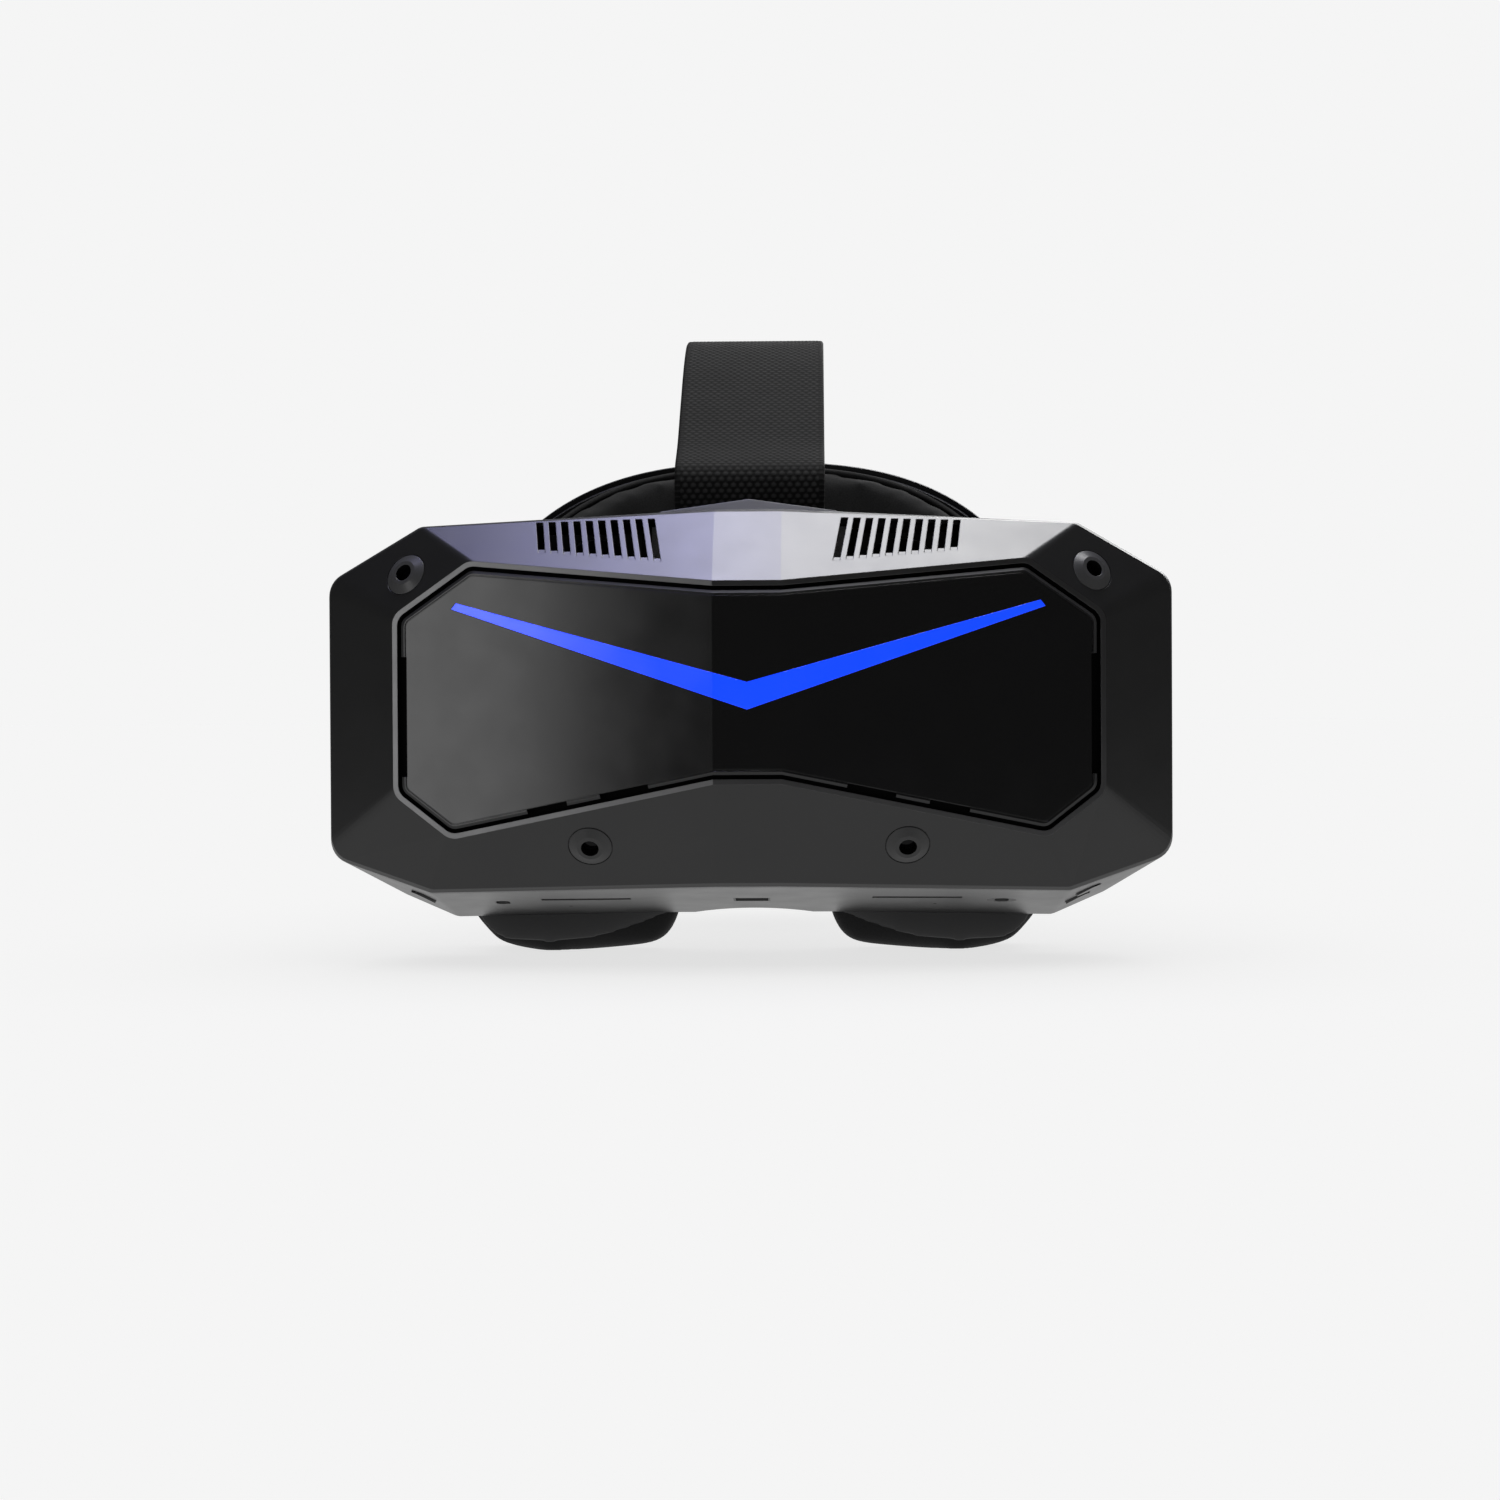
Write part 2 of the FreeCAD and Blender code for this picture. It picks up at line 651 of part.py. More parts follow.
def fan_housing():
    """A square fan frame with a round duct and a spindle on three spokes."""
    half = FAN_SIZE / 2
    rear = FAN_DEPTH + FAN_THICK
    frame = box(FAN_X - half, FAN_X + half, FAN_DEPTH, rear, FAN_Z - half, FAN_Z + half)
    frame = frame.cut(along_y(FAN_X, FAN_Z, FAN_DEPTH - 1, rear + 1, FAN_R + 0.6))
    for spoke in range(3):
        bar = box(FAN_X - 0.8, FAN_X + 0.8, rear - 1.4, rear, FAN_Z, FAN_Z + FAN_R + 1.2)
        bar.rotate(at(FAN_X, rear, FAN_Z), V(0, 1, 0), 120 * spoke)
        frame = frame.fuse(bar)
    hub = along_y(FAN_X, FAN_Z, rear - 1.4, rear, 4.0)
    spindle = along_y(FAN_X, FAN_Z, FAN_DEPTH + 1, rear, 1.0)
    return joined(frame, hub, spindle)


def fan_rotor():
    """A hub with seven pitched blades."""
    front = FAN_DEPTH + 0.6
    rear = FAN_DEPTH + FAN_THICK - 1.9
    hub = along_y(FAN_X, FAN_Z, front, rear, 4.6)
    shape = hub
    for blade in range(7):
        vane = box(FAN_X - 0.5, FAN_X + 0.5, front + 0.3, rear - 0.3, FAN_Z + 3.5, FAN_Z + FAN_R - 0.4)
        vane.rotate(at(FAN_X, (front + rear) / 2, FAN_Z), V(0, 0, 1), 38)
        vane.rotate(at(FAN_X, 0, FAN_Z), V(0, 1, 0), blade * 360 / 7)
        shape = shape.fuse(vane)
    tip = along_y(FAN_X, FAN_Z, front, rear, FAN_R)
    return shape.common(tip).cut(along_y(FAN_X, FAN_Z, front - 1, rear + 1, 1.0 + RUN)).removeSplitter()


def cable_block(wall):
    """An upright block through the bottom wall where the cable goes in, thinner by a wall."""
    half_w, half_d = 6.2 - wall, 4.7 - wall
    return box(-half_w, half_w, CABLE_DEPTH - half_d, CABLE_DEPTH + half_d, 10, 33)


def usb_socket(outside):
    """The cable inlet: a block with a plug recess, a flat mouth and a tongue in the middle."""
    body = cable_block(0.0).common(outside).common(box(-10, 10, 50, 70, 10, 32))
    recess = cable_block(0.7).common(box(-10, 10, 50, 70, 9, 24))
    mouth = box(-4.4, 4.4, CABLE_DEPTH - 1.6, CABLE_DEPTH + 1.6, 10, 30.5)
    tongue = box(-3.4, 3.4, CABLE_DEPTH - 0.35, CABLE_DEPTH + 0.35, 24.6, 30.7)
    return body.cut([recess, mouth]).fuse(tongue).removeSplitter()


def port_slot():
    """A long round-ended opening in the bottom wall, at the side of the visor."""
    half_w, half_d = PORT_HALF
    straight = half_d - half_w
    near, far = JACK_DEPTH - straight, JACK_DEPTH + straight
    ends = [Part.makeCylinder(half_w, 30, at(JACK_X, depth, 9)) for depth in (near, far)]
    middle = box(JACK_X - half_w, JACK_X + half_w, near, far, 9, 39)
    return ends[0].fuse([ends[1], middle]).removeSplitter()


def jack_blank():
    return Part.makeCylinder(5.0, 30, at(JACK_X, JACK_DEPTH, 9))


def headphone_jack(outside):
    """A 3.5 mm headphone socket that opens downwards, at the bottom of a long recess."""
    body = jack_blank().common(outside)
    recess = port_slot().common(box(JACK_X - 20, JACK_X + 20, 40, 80, 0, 22))
    return body.cut([recess, Part.makeCylinder(1.75, 27, at(JACK_X, JACK_DEPTH, 10))])


def mic_spots():
    return [(-62.0, 72.0, 17.9), (62.0, 72.0, 17.9)]


def mic_holes():
    return [Part.makeCylinder(0.7, 14, at(x, depth, z - 7)) for x, depth, z in mic_spots()]


def microphones():
    """Two microphone capsules over pin holes in the bottom wall."""
    return Part.Compound([Part.makeCylinder(2.4, 2.0, at(x, depth, z + 3.1))
                          for x, depth, z in mic_spots()])


def sensor_box():
    return box(-5, 5, REAR_DEPTH - 4, REAR_DEPTH + 1, 116, 121)


def proximity_sensor():
    """The wear sensor above the bridge of the nose."""
    return box(-5, 5, REAR_DEPTH - 4, REAR_DEPTH - 0.2, 116, 121)


def bottom_slits():
    """A long narrow air slit on each side of the bottom wall."""
    slit = box(40.5, 70.5, 51.0, 55.5, 10, 27)
    return [slit, mirrored(slit)]


# ---- fasteners ------------------------------------------------------------------------------

SCREW_R = 1.25
SCREW_HEAD_R = 2.6


def screw_spots():
    """The rear wall's case screws."""
    return [(-96, 136), (96, 136), (-112, 44), (112, 44), (-60, 22), (60, 22)]


def screw_blanks():
    """The holes for the case screws' heads and shanks."""
    holes = []
    for x, z in screw_spots():
        holes.append(along_y(x, z, REAR_DEPTH - 1.4, REAR_DEPTH + 1, SCREW_HEAD_R))
        holes.append(along_y(x, z, REAR_DEPTH - 12, REAR_DEPTH, SCREW_R))
    return holes


def shell_screws():
    """Countersunk case screws with a cross recess."""
    screws = []
    for x, z in screw_spots():
        head = along_y(x, z, REAR_DEPTH - 1.4, REAR_DEPTH - 0.2, SCREW_HEAD_R)
        shank = along_y(x, z, REAR_DEPTH - 11, REAR_DEPTH - 1.4, SCREW_R)
        flat = box(x - 1.6, x + 1.6, REAR_DEPTH - 0.9, REAR_DEPTH, z - 0.35, z + 0.35)
        upright = box(x - 0.35, x + 0.35, REAR_DEPTH - 0.9, REAR_DEPTH, z - 1.6, z + 1.6)
        screws.append(joined(head, shank).cut([flat, upright]))
    return Part.Compound(screws)


# ---- buttons --------------------------------------------------------------------------------

BUTTONS = {"power_button": (-111.0, 62.0), "volume_up_button": (110.0, 68.0),
           "volume_down_button": (112.5, 54.0)}
BUTTON_HALF = (5.0, 2.6)
BUTTON_PROUD = 0.9


def button_frame(name):
    """A button's place on the sloping lower wall, and the wall's outward normal."""
    x, depth = BUTTONS[name]
    side = 1 if x > 0 else -1
    ridge = [at(side * px, d, z) for (px, z, r), d in zip(RIDGE, ridge_depths())]
    rear = [at(side * px, REAR_DEPTH, z) for px, z, r in REAR]
    a, b, c = ridge[5], rear[5], rear[4]
    normal = (b - a).cross(c - a).normalize()
    if normal.z > 0:
        normal = normal * -1
    y = FRONT_Y + depth
    z = a.z - (normal.x * (x - a.x) + normal.y * (y - a.y)) / normal.z
    return V(x, y, z), normal


def button_blank(name, margin, inward):
    """A rounded bar through the wall, across the place of a button."""
    place, normal = button_frame(name)
    half_x, half_y = BUTTON_HALF[0] + margin, BUTTON_HALF[1] + margin
    straight = half_x - half_y
    high = inward + 6
    core = Part.makeBox(2 * straight, 2 * half_y, high, V(-straight, -half_y, 0))
    ends = [Part.makeCylinder(half_y, high, V(x, 0, 0)) for x in (-straight, straight)]
    bar = core.fuse(ends).removeSplitter()
    turn = FreeCAD.Rotation(V(0, 0, 1), normal)
    bar.Placement = FreeCAD.Placement(place - normal * inward, turn)
    return bar


def button(name):
    """A push button with a stop flange inside the wall."""
    place, normal = button_frame(name)
    far = place + normal * BUTTON_PROUD
    cap = button_blank(name, 0.0, 5.0).common(rod(far - normal * 9, far, 20))
    inner = place - normal * 2.8
    flange = button_blank(name, 1.2, 5.0).common(rod(inner - normal * 1.2, inner, 20))
    return joined(cap, flange)


# ---- eye modules ----------------------------------------------------------------------------


def gear(module, teeth, thick, base, axis, phase):
    """A spur gear with involute flanks, standing on a base point along an axis."""
    pitch = module * teeth / 2
    base_r = pitch * math.cos(math.radians(20))
    tip = pitch + 0.9 * module
    root = pitch - 1.2 * module
    involute = math.tan(math.radians(20)) - math.radians(20)
    half_tooth = math.pi / (2 * teeth) - 0.03 / pitch
    points = []
    for k in range(teeth):
        middle = 2 * math.pi * k / teeth + phase
        flank = []
        for step in range(6):
            radius = max(base_r, root) + (tip - max(base_r, root)) * step / 5
            turn = math.acos(min(1.0, base_r / radius))
            flank.append((radius, half_tooth + involute - (math.tan(turn) - turn)))
        spread = flank[0][1]
        side = [(root, spread)] + flank
        for radius, angle in side:
            points.append((radius, middle - angle))
        for radius, angle in reversed(side):
            points.append((radius, middle + angle))
    corners = [V(r * math.cos(a), r * math.sin(a), 0) for r, a in points]
    body = Part.Face(Part.makePolygon(corners + corners[:1])).extrude(V(0, 0, thick))
    body.Placement = FreeCAD.Placement(base, FreeCAD.Rotation(V(0, 0, 1), axis))
    return body


def rack_bar(module, first, last, pitch_z, side, back, depth, thick):
    """A straight rack along X: teeth from tooth number first to last, on the side given by sign."""
    pitch = math.pi * module
    slope = math.tan(math.radians(20))
    half = pitch / 4 - 0.03
    tall = 0.9 * module
    deep = 1.2 * module
    teeth = []
    for k in range(first, last + 1):
        x = k * pitch
        points = [(x - half - deep * slope, pitch_z + side * deep),
                  (x - half + tall * slope, pitch_z - side * tall),
                  (x + half - tall * slope, pitch_z - side * tall),
                  (x + half + deep * slope, pitch_z + side * deep)]
        teeth.append(prism(outline(points), depth, depth + thick))
    z0, z1 = sorted((pitch_z + side * (deep - 0.01), pitch_z + side * back))
    spine = box((first - 0.6) * pitch, (last + 0.6) * pitch, depth, depth + thick, z0, z1)
    return joined(spine, *teeth)


def lens_barrel(side):
    """A lens cup with two bored lugs that slide on the guide rods."""
    x = side * EYE_X
    cup = along_y(x, EYE_Z, CUP_FRONT, CUP_REAR, CUP_R)
    cup = cup.cut(along_y(x, EYE_Z, CUP_FRONT + 2, CUP_REAR + 1, CUP_R - CUP_WALL))
    cup = cup.cut(box(x - 20, x + 20, CUP_FRONT - 1, CUP_FRONT + 3, EYE_Z - 13, EYE_Z + 13))
    for sign in (-1, 1):
        centre = EYE_Z + sign * ROD_RISE
        low, high = sorted((centre + sign * 4, EYE_Z + sign * (CUP_R - 1)))
        lug = box(x - 11, x + 11, ROD_DEPTH - 4, ROD_DEPTH + 4, low, high)
        cup = cup.fuse(lug)
        bore = rod(at(x - 20, ROD_DEPTH, centre), at(x + 20, ROD_DEPTH, centre), ROD_R + RUN)
        cup = cup.cut(bore)
    hollow = along_y(x, EYE_Z, CUP_FRONT + 2, CUP_REAR + 1, CUP_R - CUP_WALL)
    return cup.cut(hollow).removeSplitter()


def eye_lens(side):
    """A thick lens, domed towards the display and gently domed towards the eye."""
    x = side * EYE_X
    blank = along_y(x, EYE_Z, CUP_REAR - 16, CUP_REAR - 1.0, CUP_R - CUP_WALL)
    front = Part.makeSphere(34, at(x, CUP_REAR - 14 + 34, EYE_Z))
    rear = Part.makeSphere(62, at(x, CUP_REAR - 1.6 - 62, EYE_Z))
    return blank.common(front).common(rear)


def display(side):
    """A flat display module on the cup's closed end."""
    x = side * EYE_X
    panel = box(x - 24, x + 24, CUP_FRONT - 3.5, CUP_FRONT, EYE_Z - 22, EYE_Z + 22)
    return panel


def guide_rod(height):
    return rod(at(-ROD_HALF, ROD_DEPTH, height), at(ROD_HALF, ROD_DEPTH, height), ROD_R)


def ipd_pinion():
    """The pinion between the two racks, on the motor's shaft."""
    base = at(0, IPD_DEPTH + IPD_THICK, IPD_Z)
    wheel = gear(IPD_MODULE, IPD_TEETH, IPD_THICK, base, V(0, -1, 0), math.pi / IPD_TEETH)
    return wheel.cut(along_y(0, IPD_Z, IPD_DEPTH - 1, IPD_DEPTH + IPD_THICK + 1, 1.0 + RUN))


def ipd_racks():
    """One rack above the pinion on the -X eye, and one below it on the +X eye."""
    pitch_r = IPD_MODULE * IPD_TEETH / 2
    lug_low = EYE_Z - ROD_RISE - 4
    upper = rack_bar(IPD_MODULE, -10, 4, IPD_Z + pitch_r, 1, lug_low - IPD_Z - pitch_r,
                     IPD_DEPTH, IPD_THICK)
    lower = rack_bar(IPD_MODULE, -4, 10, IPD_Z - pitch_r, -1, 4.2, IPD_DEPTH, IPD_THICK)
    base = IPD_Z - pitch_r - 4.2
    lower = lower.fuse(box(22, 27, IPD_DEPTH, IPD_DEPTH + IPD_THICK, base, lug_low))
    foot = box(-36, -22, IPD_DEPTH, IPD_DEPTH + IPD_THICK, lug_low - 3, lug_low)
    return upper.fuse(foot).removeSplitter(), lower.removeSplitter()


def ipd_motor():
    """The gear motor that turns the pinion, fixed to the rear wall."""
    can = along_y(0, IPD_Z, IPD_DEPTH + IPD_THICK + 1, REAR_DEPTH - WALL, 5.0)
    shaft = along_y(0, IPD_Z, IPD_DEPTH - 1, IPD_DEPTH + IPD_THICK + 2, 1.0)
    collar = along_y(0, IPD_Z, IPD_DEPTH - 1.4, IPD_DEPTH - 0.4, 2.0)
    return joined(can, shaft, collar)


# ---- face gasket ----------------------------------------------------------------------------

GASKET = [(0, 143, 0), (60, 142, 14), (98, 116, 30), (99.2, 18, 9), (88, 2.6, 9), (74.5, 0, 6),
          (66.5, 0, 6), (30, 3.0, 9), (25.5, 22, 10), (0, 47, 14)]
GASKET_FRAME = [(0, 141, 0), (60, 140, 14), (97, 115, 30), (98.6, 18, 9), (87.2, 4.4, 10),
                (70, 3.2, 10), (54, 5.2, 16), (40, 9.8, 14), (27, 15, 8), (22, 30, 10), (0, 50, 12)]
FACE_WINDOW = [(0, 126, 0), (48, 125, 20), (78, 104, 26), (78, 46, 24), (58, 34, 12),
               (33, 45, 12), (22, 62, 10), (0, 72, 12)]


def gasket_prism(half, depth0, depth1):
    points, radii = full(half)
    return prism(outline(points, radii), depth0, depth1)


def gasket_frame():
    """The rigid frame that snaps onto the rear wall, open towards the lenses."""
    frame = gasket_prism(GASKET_FRAME, REAR_DEPTH + GAP, GASKET_DEPTH)
    return frame.cut(gasket_prism(FACE_WINDOW, REAR_DEPTH - 1, GASKET_DEPTH + 1))


def face_curve():
    """The upright drum that stands for the wearer's face."""
    return Part.makeCylinder(FACE_R, 200, at(0, FACE_DEPTH + FACE_R, -20))


def face_foam():
    """The foam ring that follows the face, with a lobe under each cheek."""
    ring_shape = gasket_prism(GASKET, GASKET_DEPTH, FOAM_END)
    window = gasket_prism(FACE_WINDOW, GASKET_DEPTH - 1, FOAM_END + 1)
    return ring_shape.cut(window).cut(face_curve())


def nose_flap(frame, foam):
    """The soft flap that closes the gap over the bridge of the nose."""
    half = [(0, 48), (10, 45), (20, 35), (26, 22), (21, 20), (15, 32), (7, 38.5), (0, 40.5)]
    other = [(-x, z) for x, z in reversed(half[1:-1])]
    flap = prism(outline(half + other), REAR_DEPTH + 1, REAR_DEPTH + 12)
    return flap.cut([frame, foam])


# ---- head harness, built level with the temple pivots at its origin, then tilted --------------


def harness(shape):
    """Move a piece from the harness's own frame to the temple pivots and tilt it."""
    moved = shape.copy()
    moved.rotate(V(0, 0, 0), V(1, 0, 0), ARM_TILT)
    moved.translate(at(0, PIVOT_DEPTH, PIVOT_Z))
    return moved


def slab(x0, x1, u0, u1, w0, w1):
    """A box in the harness's frame: x, distance along the arm, and height over the arm."""
    return Part.makeBox(x1 - x0, u1 - u0, w1 - w0, V(x0, u0, w0))


def drum(radius, low, high):
    """A disc about the cradle's upright axis."""
    return Part.makeCylinder(radius, high - low, V(0, CRADLE_REACH - CRADLE_R, low))


def hinge_bracket():
    """A metal ear on the rear wall with the temple pin through it."""
    x0 = ARM_X + ARM_THICK + 0.5
    ear = box(x0, x0 + 4, REAR_DEPTH, PIVOT_DEPTH, PIVOT_Z - 10, PIVOT_Z + 10)
    eye = rod(at(x0, PIVOT_DEPTH, PIVOT_Z), at(x0 + 4, PIVOT_DEPTH, PIVOT_Z), 10)
    foot = box(x0 - 9, x0 + 4, REAR_DEPTH, REAR_DEPTH + 1.4, PIVOT_Z - 10, PIVOT_Z + 10)
    pin = rod(at(ARM_X - 1.7, PIVOT_DEPTH, PIVOT_Z), at(x0 + 1, PIVOT_DEPTH, PIVOT_Z), PIVOT_R)
    head = rod(at(ARM_X - 2.2, PIVOT_DEPTH, PIVOT_Z), at(ARM_X - 0.5, PIVOT_DEPTH, PIVOT_Z), 5.0)
    return joined(ear, eye, foot, pin, head)


def arm():
    """A harness arm: an eye on the temple pin, a blade and a thin tongue for the cradle."""
    x1 = ARM_X + ARM_THICK
    eye = rod(V(ARM_X, 0, 0), V(x1, 0, 0), 9.5)
    blade = slab(ARM_X, x1, 0, ARM_LENGTH, -ARM_HALF + 1.5, ARM_HALF - 1.5)
    middle = (ARM_X + x1) / 2
    tongue = slab(middle - TONGUE_THICK / 2, middle + TONGUE_THICK / 2, ARM_LENGTH - 4, TONGUE_END,
                  -TONGUE_HALF, TONGUE_HALF)
    bore = rod(V(ARM_X - 5, 0, 0), V(x1 + 5, 0, 0), PIVOT_R + RUN)
    return joined(eye, blade, tongue).cut(bore)


def speaker_pod():
    """An ear speaker that hangs from the arm, with a recess for its grille."""
    shape = slab(ARM_X - 8.5, ARM_X, 20, 50, -30, 6)
    edges = [e for e in shape.Edges if abs(e.Vertexes[0].X - e.Vertexes[-1].X) > 1]
    shape = shape.makeFillet(11, edges)
    cavity = rod(V(ARM_X - 10, 35, -13), V(ARM_X - 7, 35, -13), 12)
    return shape.cut(cavity)


def speaker_grille():
    """A round grille with rings of holes."""
    x0 = ARM_X - 8.3
    disc = rod(V(x0, 35, -13), V(x0 + 1.3, 35, -13), 12)
    holes = []
    for count, radius in ((1, 0), (6, 3.2), (12, 6.2), (18, 9.2)):
        for k in range(count):
            angle = 2 * math.pi * k / count
            u = 35 + radius * math.cos(angle)
            w = -13 + radius * math.sin(angle)
            holes.append(rod(V(x0 - 1, u, w), V(x0 + 3, u, w), 0.8))
    return disc.cut(holes)


def oval(half_w, half_h):
    """A squarish oval bar along the harness, which gives the cradle its outline from behind."""
    points = []
    for k in range(OVAL_POINTS):
        angle = 2 * math.pi * k / OVAL_POINTS
        c, s = math.cos(angle), math.sin(angle)
        points.append(V(math.copysign(half_w * abs(c) ** (2 / CRADLE_SQUARENESS), c),
                        OVAL_FROM, half_h * s))
    curve = Part.BSplineCurve()
    curve.interpolate(Points=points, PeriodicFlag=True)
    return Part.Face(Part.Wire(curve.toShape())).extrude(V(0, OVAL_LENGTH, 0))


def cradle_layer(outer_r, inner_r, half_w, half_h):
    """One curved layer of the cradle between two radii, inside the oval."""
    sheet = drum(outer_r, -80, 80).cut(drum(inner_r, -81, 81))
    return sheet.common(oval(half_w, half_h))


def sleeves():
    """Straight sleeves on both sides, which the arms' tongues slide in."""
    middle = ARM_X + ARM_THICK / 2
    left = slab(middle - 3, middle + 3, SLEEVE_START, SLEEVE_END, -SLEEVE_HALF, SLEEVE_HALF)
    return left, mirrored(left)


def sleeve_channels():
    middle = ARM_X + ARM_THICK / 2
    thick = TONGUE_THICK / 2 + 0.3
    cut = slab(middle - thick, middle + thick, SLEEVE_START - 1, SLEEVE_END + 8,
               -TONGUE_HALF - 0.4, TONGUE_HALF + 0.4)
    return [cut, mirrored(cut)]


def side_wings(outer_r, inner_r):
    """Low bands that join the cradle's oval to the sleeves."""
    sheet = drum(outer_r, -SLEEVE_HALF, SLEEVE_HALF).cut(drum(inner_r, -81, 81))
    rear_half = slab(-150, 150, SLEEVE_END - 6, 240, -SLEEVE_HALF, SLEEVE_HALF)
    return sheet.common(rear_half)


def cradle_shell():
    """The outer shell of the cradle, with its sleeves, the dial's hole and the strap's slot."""
    shell = cradle_layer(CRADLE_R, CRADLE_R - 2.5, CRADLE_HALF_W, CRADLE_HALF_H)
    shell = joined(shell, side_wings(CRADLE_R, CRADLE_R - 2.5), *sleeves())
    shell = shell.cut(sleeve_channels())
    hole = rod(V(0, CRADLE_REACH - 20, 0), V(0, CRADLE_REACH + 5, 0), 4.0 + RUN)
    half = STRAP_WIDTH / 2 + 1.5
    slot = slab(-half, half, CRADLE_REACH - 30, CRADLE_REACH + 5, 46.0, 49.5)
    return shell.cut([hole, slot])


def cradle_liner():
    """The inner plate that closes the space for the toothed bands."""
    inner = CRADLE_R - 7.0
    liner = cradle_layer(inner + 2.0, inner, CRADLE_HALF_W - 2, CRADLE_HALF_H - 2)
    rim = cradle_layer(CRADLE_R - 2.5, inner + 2.0, CRADLE_HALF_W - 2, CRADLE_HALF_H - 2)
    rim = rim.cut(slab(-140, 140, 60, 240, -40, 40))
    half = STRAP_WIDTH / 2 + 1.5
    slot = slab(-half, half, CRADLE_REACH - 30, CRADLE_REACH + 5, 46.0, 49.5)
    return joined(liner, rim).cut(slot)


def cradle_pad():
    """The foam pad that rests on the back of the head."""
    outer = CRADLE_R - 7.0
    return cradle_layer(outer, outer - 13.0, CRADLE_HALF_W - 7, CRADLE_HALF_H - 1.8)


def band_rack(sign):
    """A toothed band that slides round the cradle, over the pinion (+1) or under it (-1)."""
    pitch_w = sign * BAND_MODULE * BAND_TEETH / 2
    root = pitch_w + sign * 1.2 * BAND_MODULE
    low, high = sorted((root - sign * 0.01, sign * BAND_EDGE))
    inner = BAND_R - BAND_THICK / 2
    sheet = drum(inner + BAND_THICK, low, high).cut(drum(inner, -81, 81))
    sheet = sheet.common(sector_between(26, 102))
    half = BAND_MODULE * math.pi / 4 - 0.06
    slope = math.tan(math.radians(20))
    tall = 0.9 * BAND_MODULE
    deep = 1.2 * BAND_MODULE
    points = [V(-half - deep * slope, 0, pitch_w + sign * deep),
              V(-half + tall * slope, 0, pitch_w - sign * tall),
              V(half - tall * slope, 0, pitch_w - sign * tall),
              V(half + deep * slope, 0, pitch_w + sign * deep)]
    profile = Part.Face(Part.makePolygon(points + points[:1]))
    axis = V(0, CRADLE_REACH - CRADLE_R, 0)
    teeth = []
    for k in range(-5, 9):
        tooth = profile.extrude(V(0, BAND_THICK - 0.04, 0))
        tooth.translate(axis + V(0, inner + 0.02, 0))
        tooth.rotate(axis, V(0, 0, 1), -math.degrees(k * BAND_MODULE * math.pi / BAND_R))
        teeth.append(tooth)
    return joined(sheet, *teeth)


def sector_between(start, end):
    """A tall wedge about the cradle's axis, between two angles from the +X side."""
    reach = 300.0
    axis = V(0, CRADLE_REACH - CRADLE_R, -40)
    points = [axis]
    for step in range(5):
        angle = math.radians(start + (end - start) * step / 4)
        points.append(axis + V(reach * math.cos(angle), reach * math.sin(angle), 0))
    return Part.Face(Part.makePolygon(points + points[:1])).extrude(V(0, 0, 80))


def dial_pinion():
    """The pinion between the toothed bands, with its shaft out to the knob."""
    wheel = gear(BAND_MODULE, BAND_TEETH, 1.5, V(0, CRADLE_REACH - CRADLE_R + BAND_R - 0.75, 0),
                 V(0, 1, 0), math.pi / BAND_TEETH)
    shaft = rod(V(0, CRADLE_REACH - CRADLE_R + BAND_R - 0.75, 0), V(0, CRADLE_REACH + 5, 0), 4.0)
    return joined(wheel, shaft)


def dial_knob():
    """The round tightening knob with grip flutes round its edge."""
    front = CRADLE_REACH + 0.6
    knob = rod(V(0, front, 0), V(0, front + DIAL_THICK, 0), DIAL_R)
    edges = [e for e in knob.Edges if e.Length > 100 and e.BoundBox.YMin > front + 5]
    knob = knob.makeFillet(2.5, edges)
    cuts = []
    for k in range(24):
        angle = 2 * math.pi * k / 24
        x = (DIAL_R + 1.2) * math.cos(angle)
        w = (DIAL_R + 1.2) * math.sin(angle)
        cuts.append(rod(V(x, front - 1, w), V(x, front + DIAL_THICK + 1, w), 2.0))
    dish = Part.makeSphere(60, V(0, front + DIAL_THICK + 58.4, 0))
    shaft = rod(V(0, front - 1, 0), V(0, CRADLE_REACH + 5, 0), 4.0)
    return knob.cut(cuts + [dish, shaft])


# ---- top strap ------------------------------------------------------------------------------


def strap_solid(path):
    """A flat band along a path of (depth, z) points."""
    half_t = STRAP_THICK / 2
    above = []
    below = []
    for i, (depth, z) in enumerate(path):
        before = path[max(i - 1, 0)]
        after = path[min(i + 1, len(path) - 1)]
        direction = V(0, after[0] - before[0], after[1] - before[1]).normalize()
        normal = V(0, -direction.z, direction.y)
        above.append(at(0, depth, z) + normal * half_t)
        below.append(at(0, depth, z) - normal * half_t)
    points = [p - V(STRAP_WIDTH / 2, 0, 0) for p in above + list(reversed(below))]
    return Part.Face(Part.makePolygon(points + points[:1])).extrude(V(STRAP_WIDTH, 0, 0))


def crown_clip():
    """The riveted clip under the place where the two straps overlap."""
    width, length, thick = CLIP_SIZE
    plate = Part.makeBox(width, length, thick, V(-width / 2, -length / 2, -thick / 2))
    upright = [e for e in plate.Edges if abs(e.Vertexes[0].Z - e.Vertexes[-1].Z) > thick / 2]
    plate = plate.makeFillet(4, upright)
    rivets = [Part.makeCylinder(RIVET_R, thick / 2 + RIVET_HIGH, V(x, y, -thick / 2 - RIVET_HIGH))
              for x in (-width / 2 + 6, width / 2 - 6) for y in (-length / 2 + 6, length / 2 - 6)]
    clip = joined(plate, *rivets)
    clip.rotate(V(0, 0, 0), V(1, 0, 0), CLIP_TILT)
    clip.translate(at(0, *CLIP_MIDDLE))
    return clip


# ---- the whole headset ----------------------------------------------------------------------


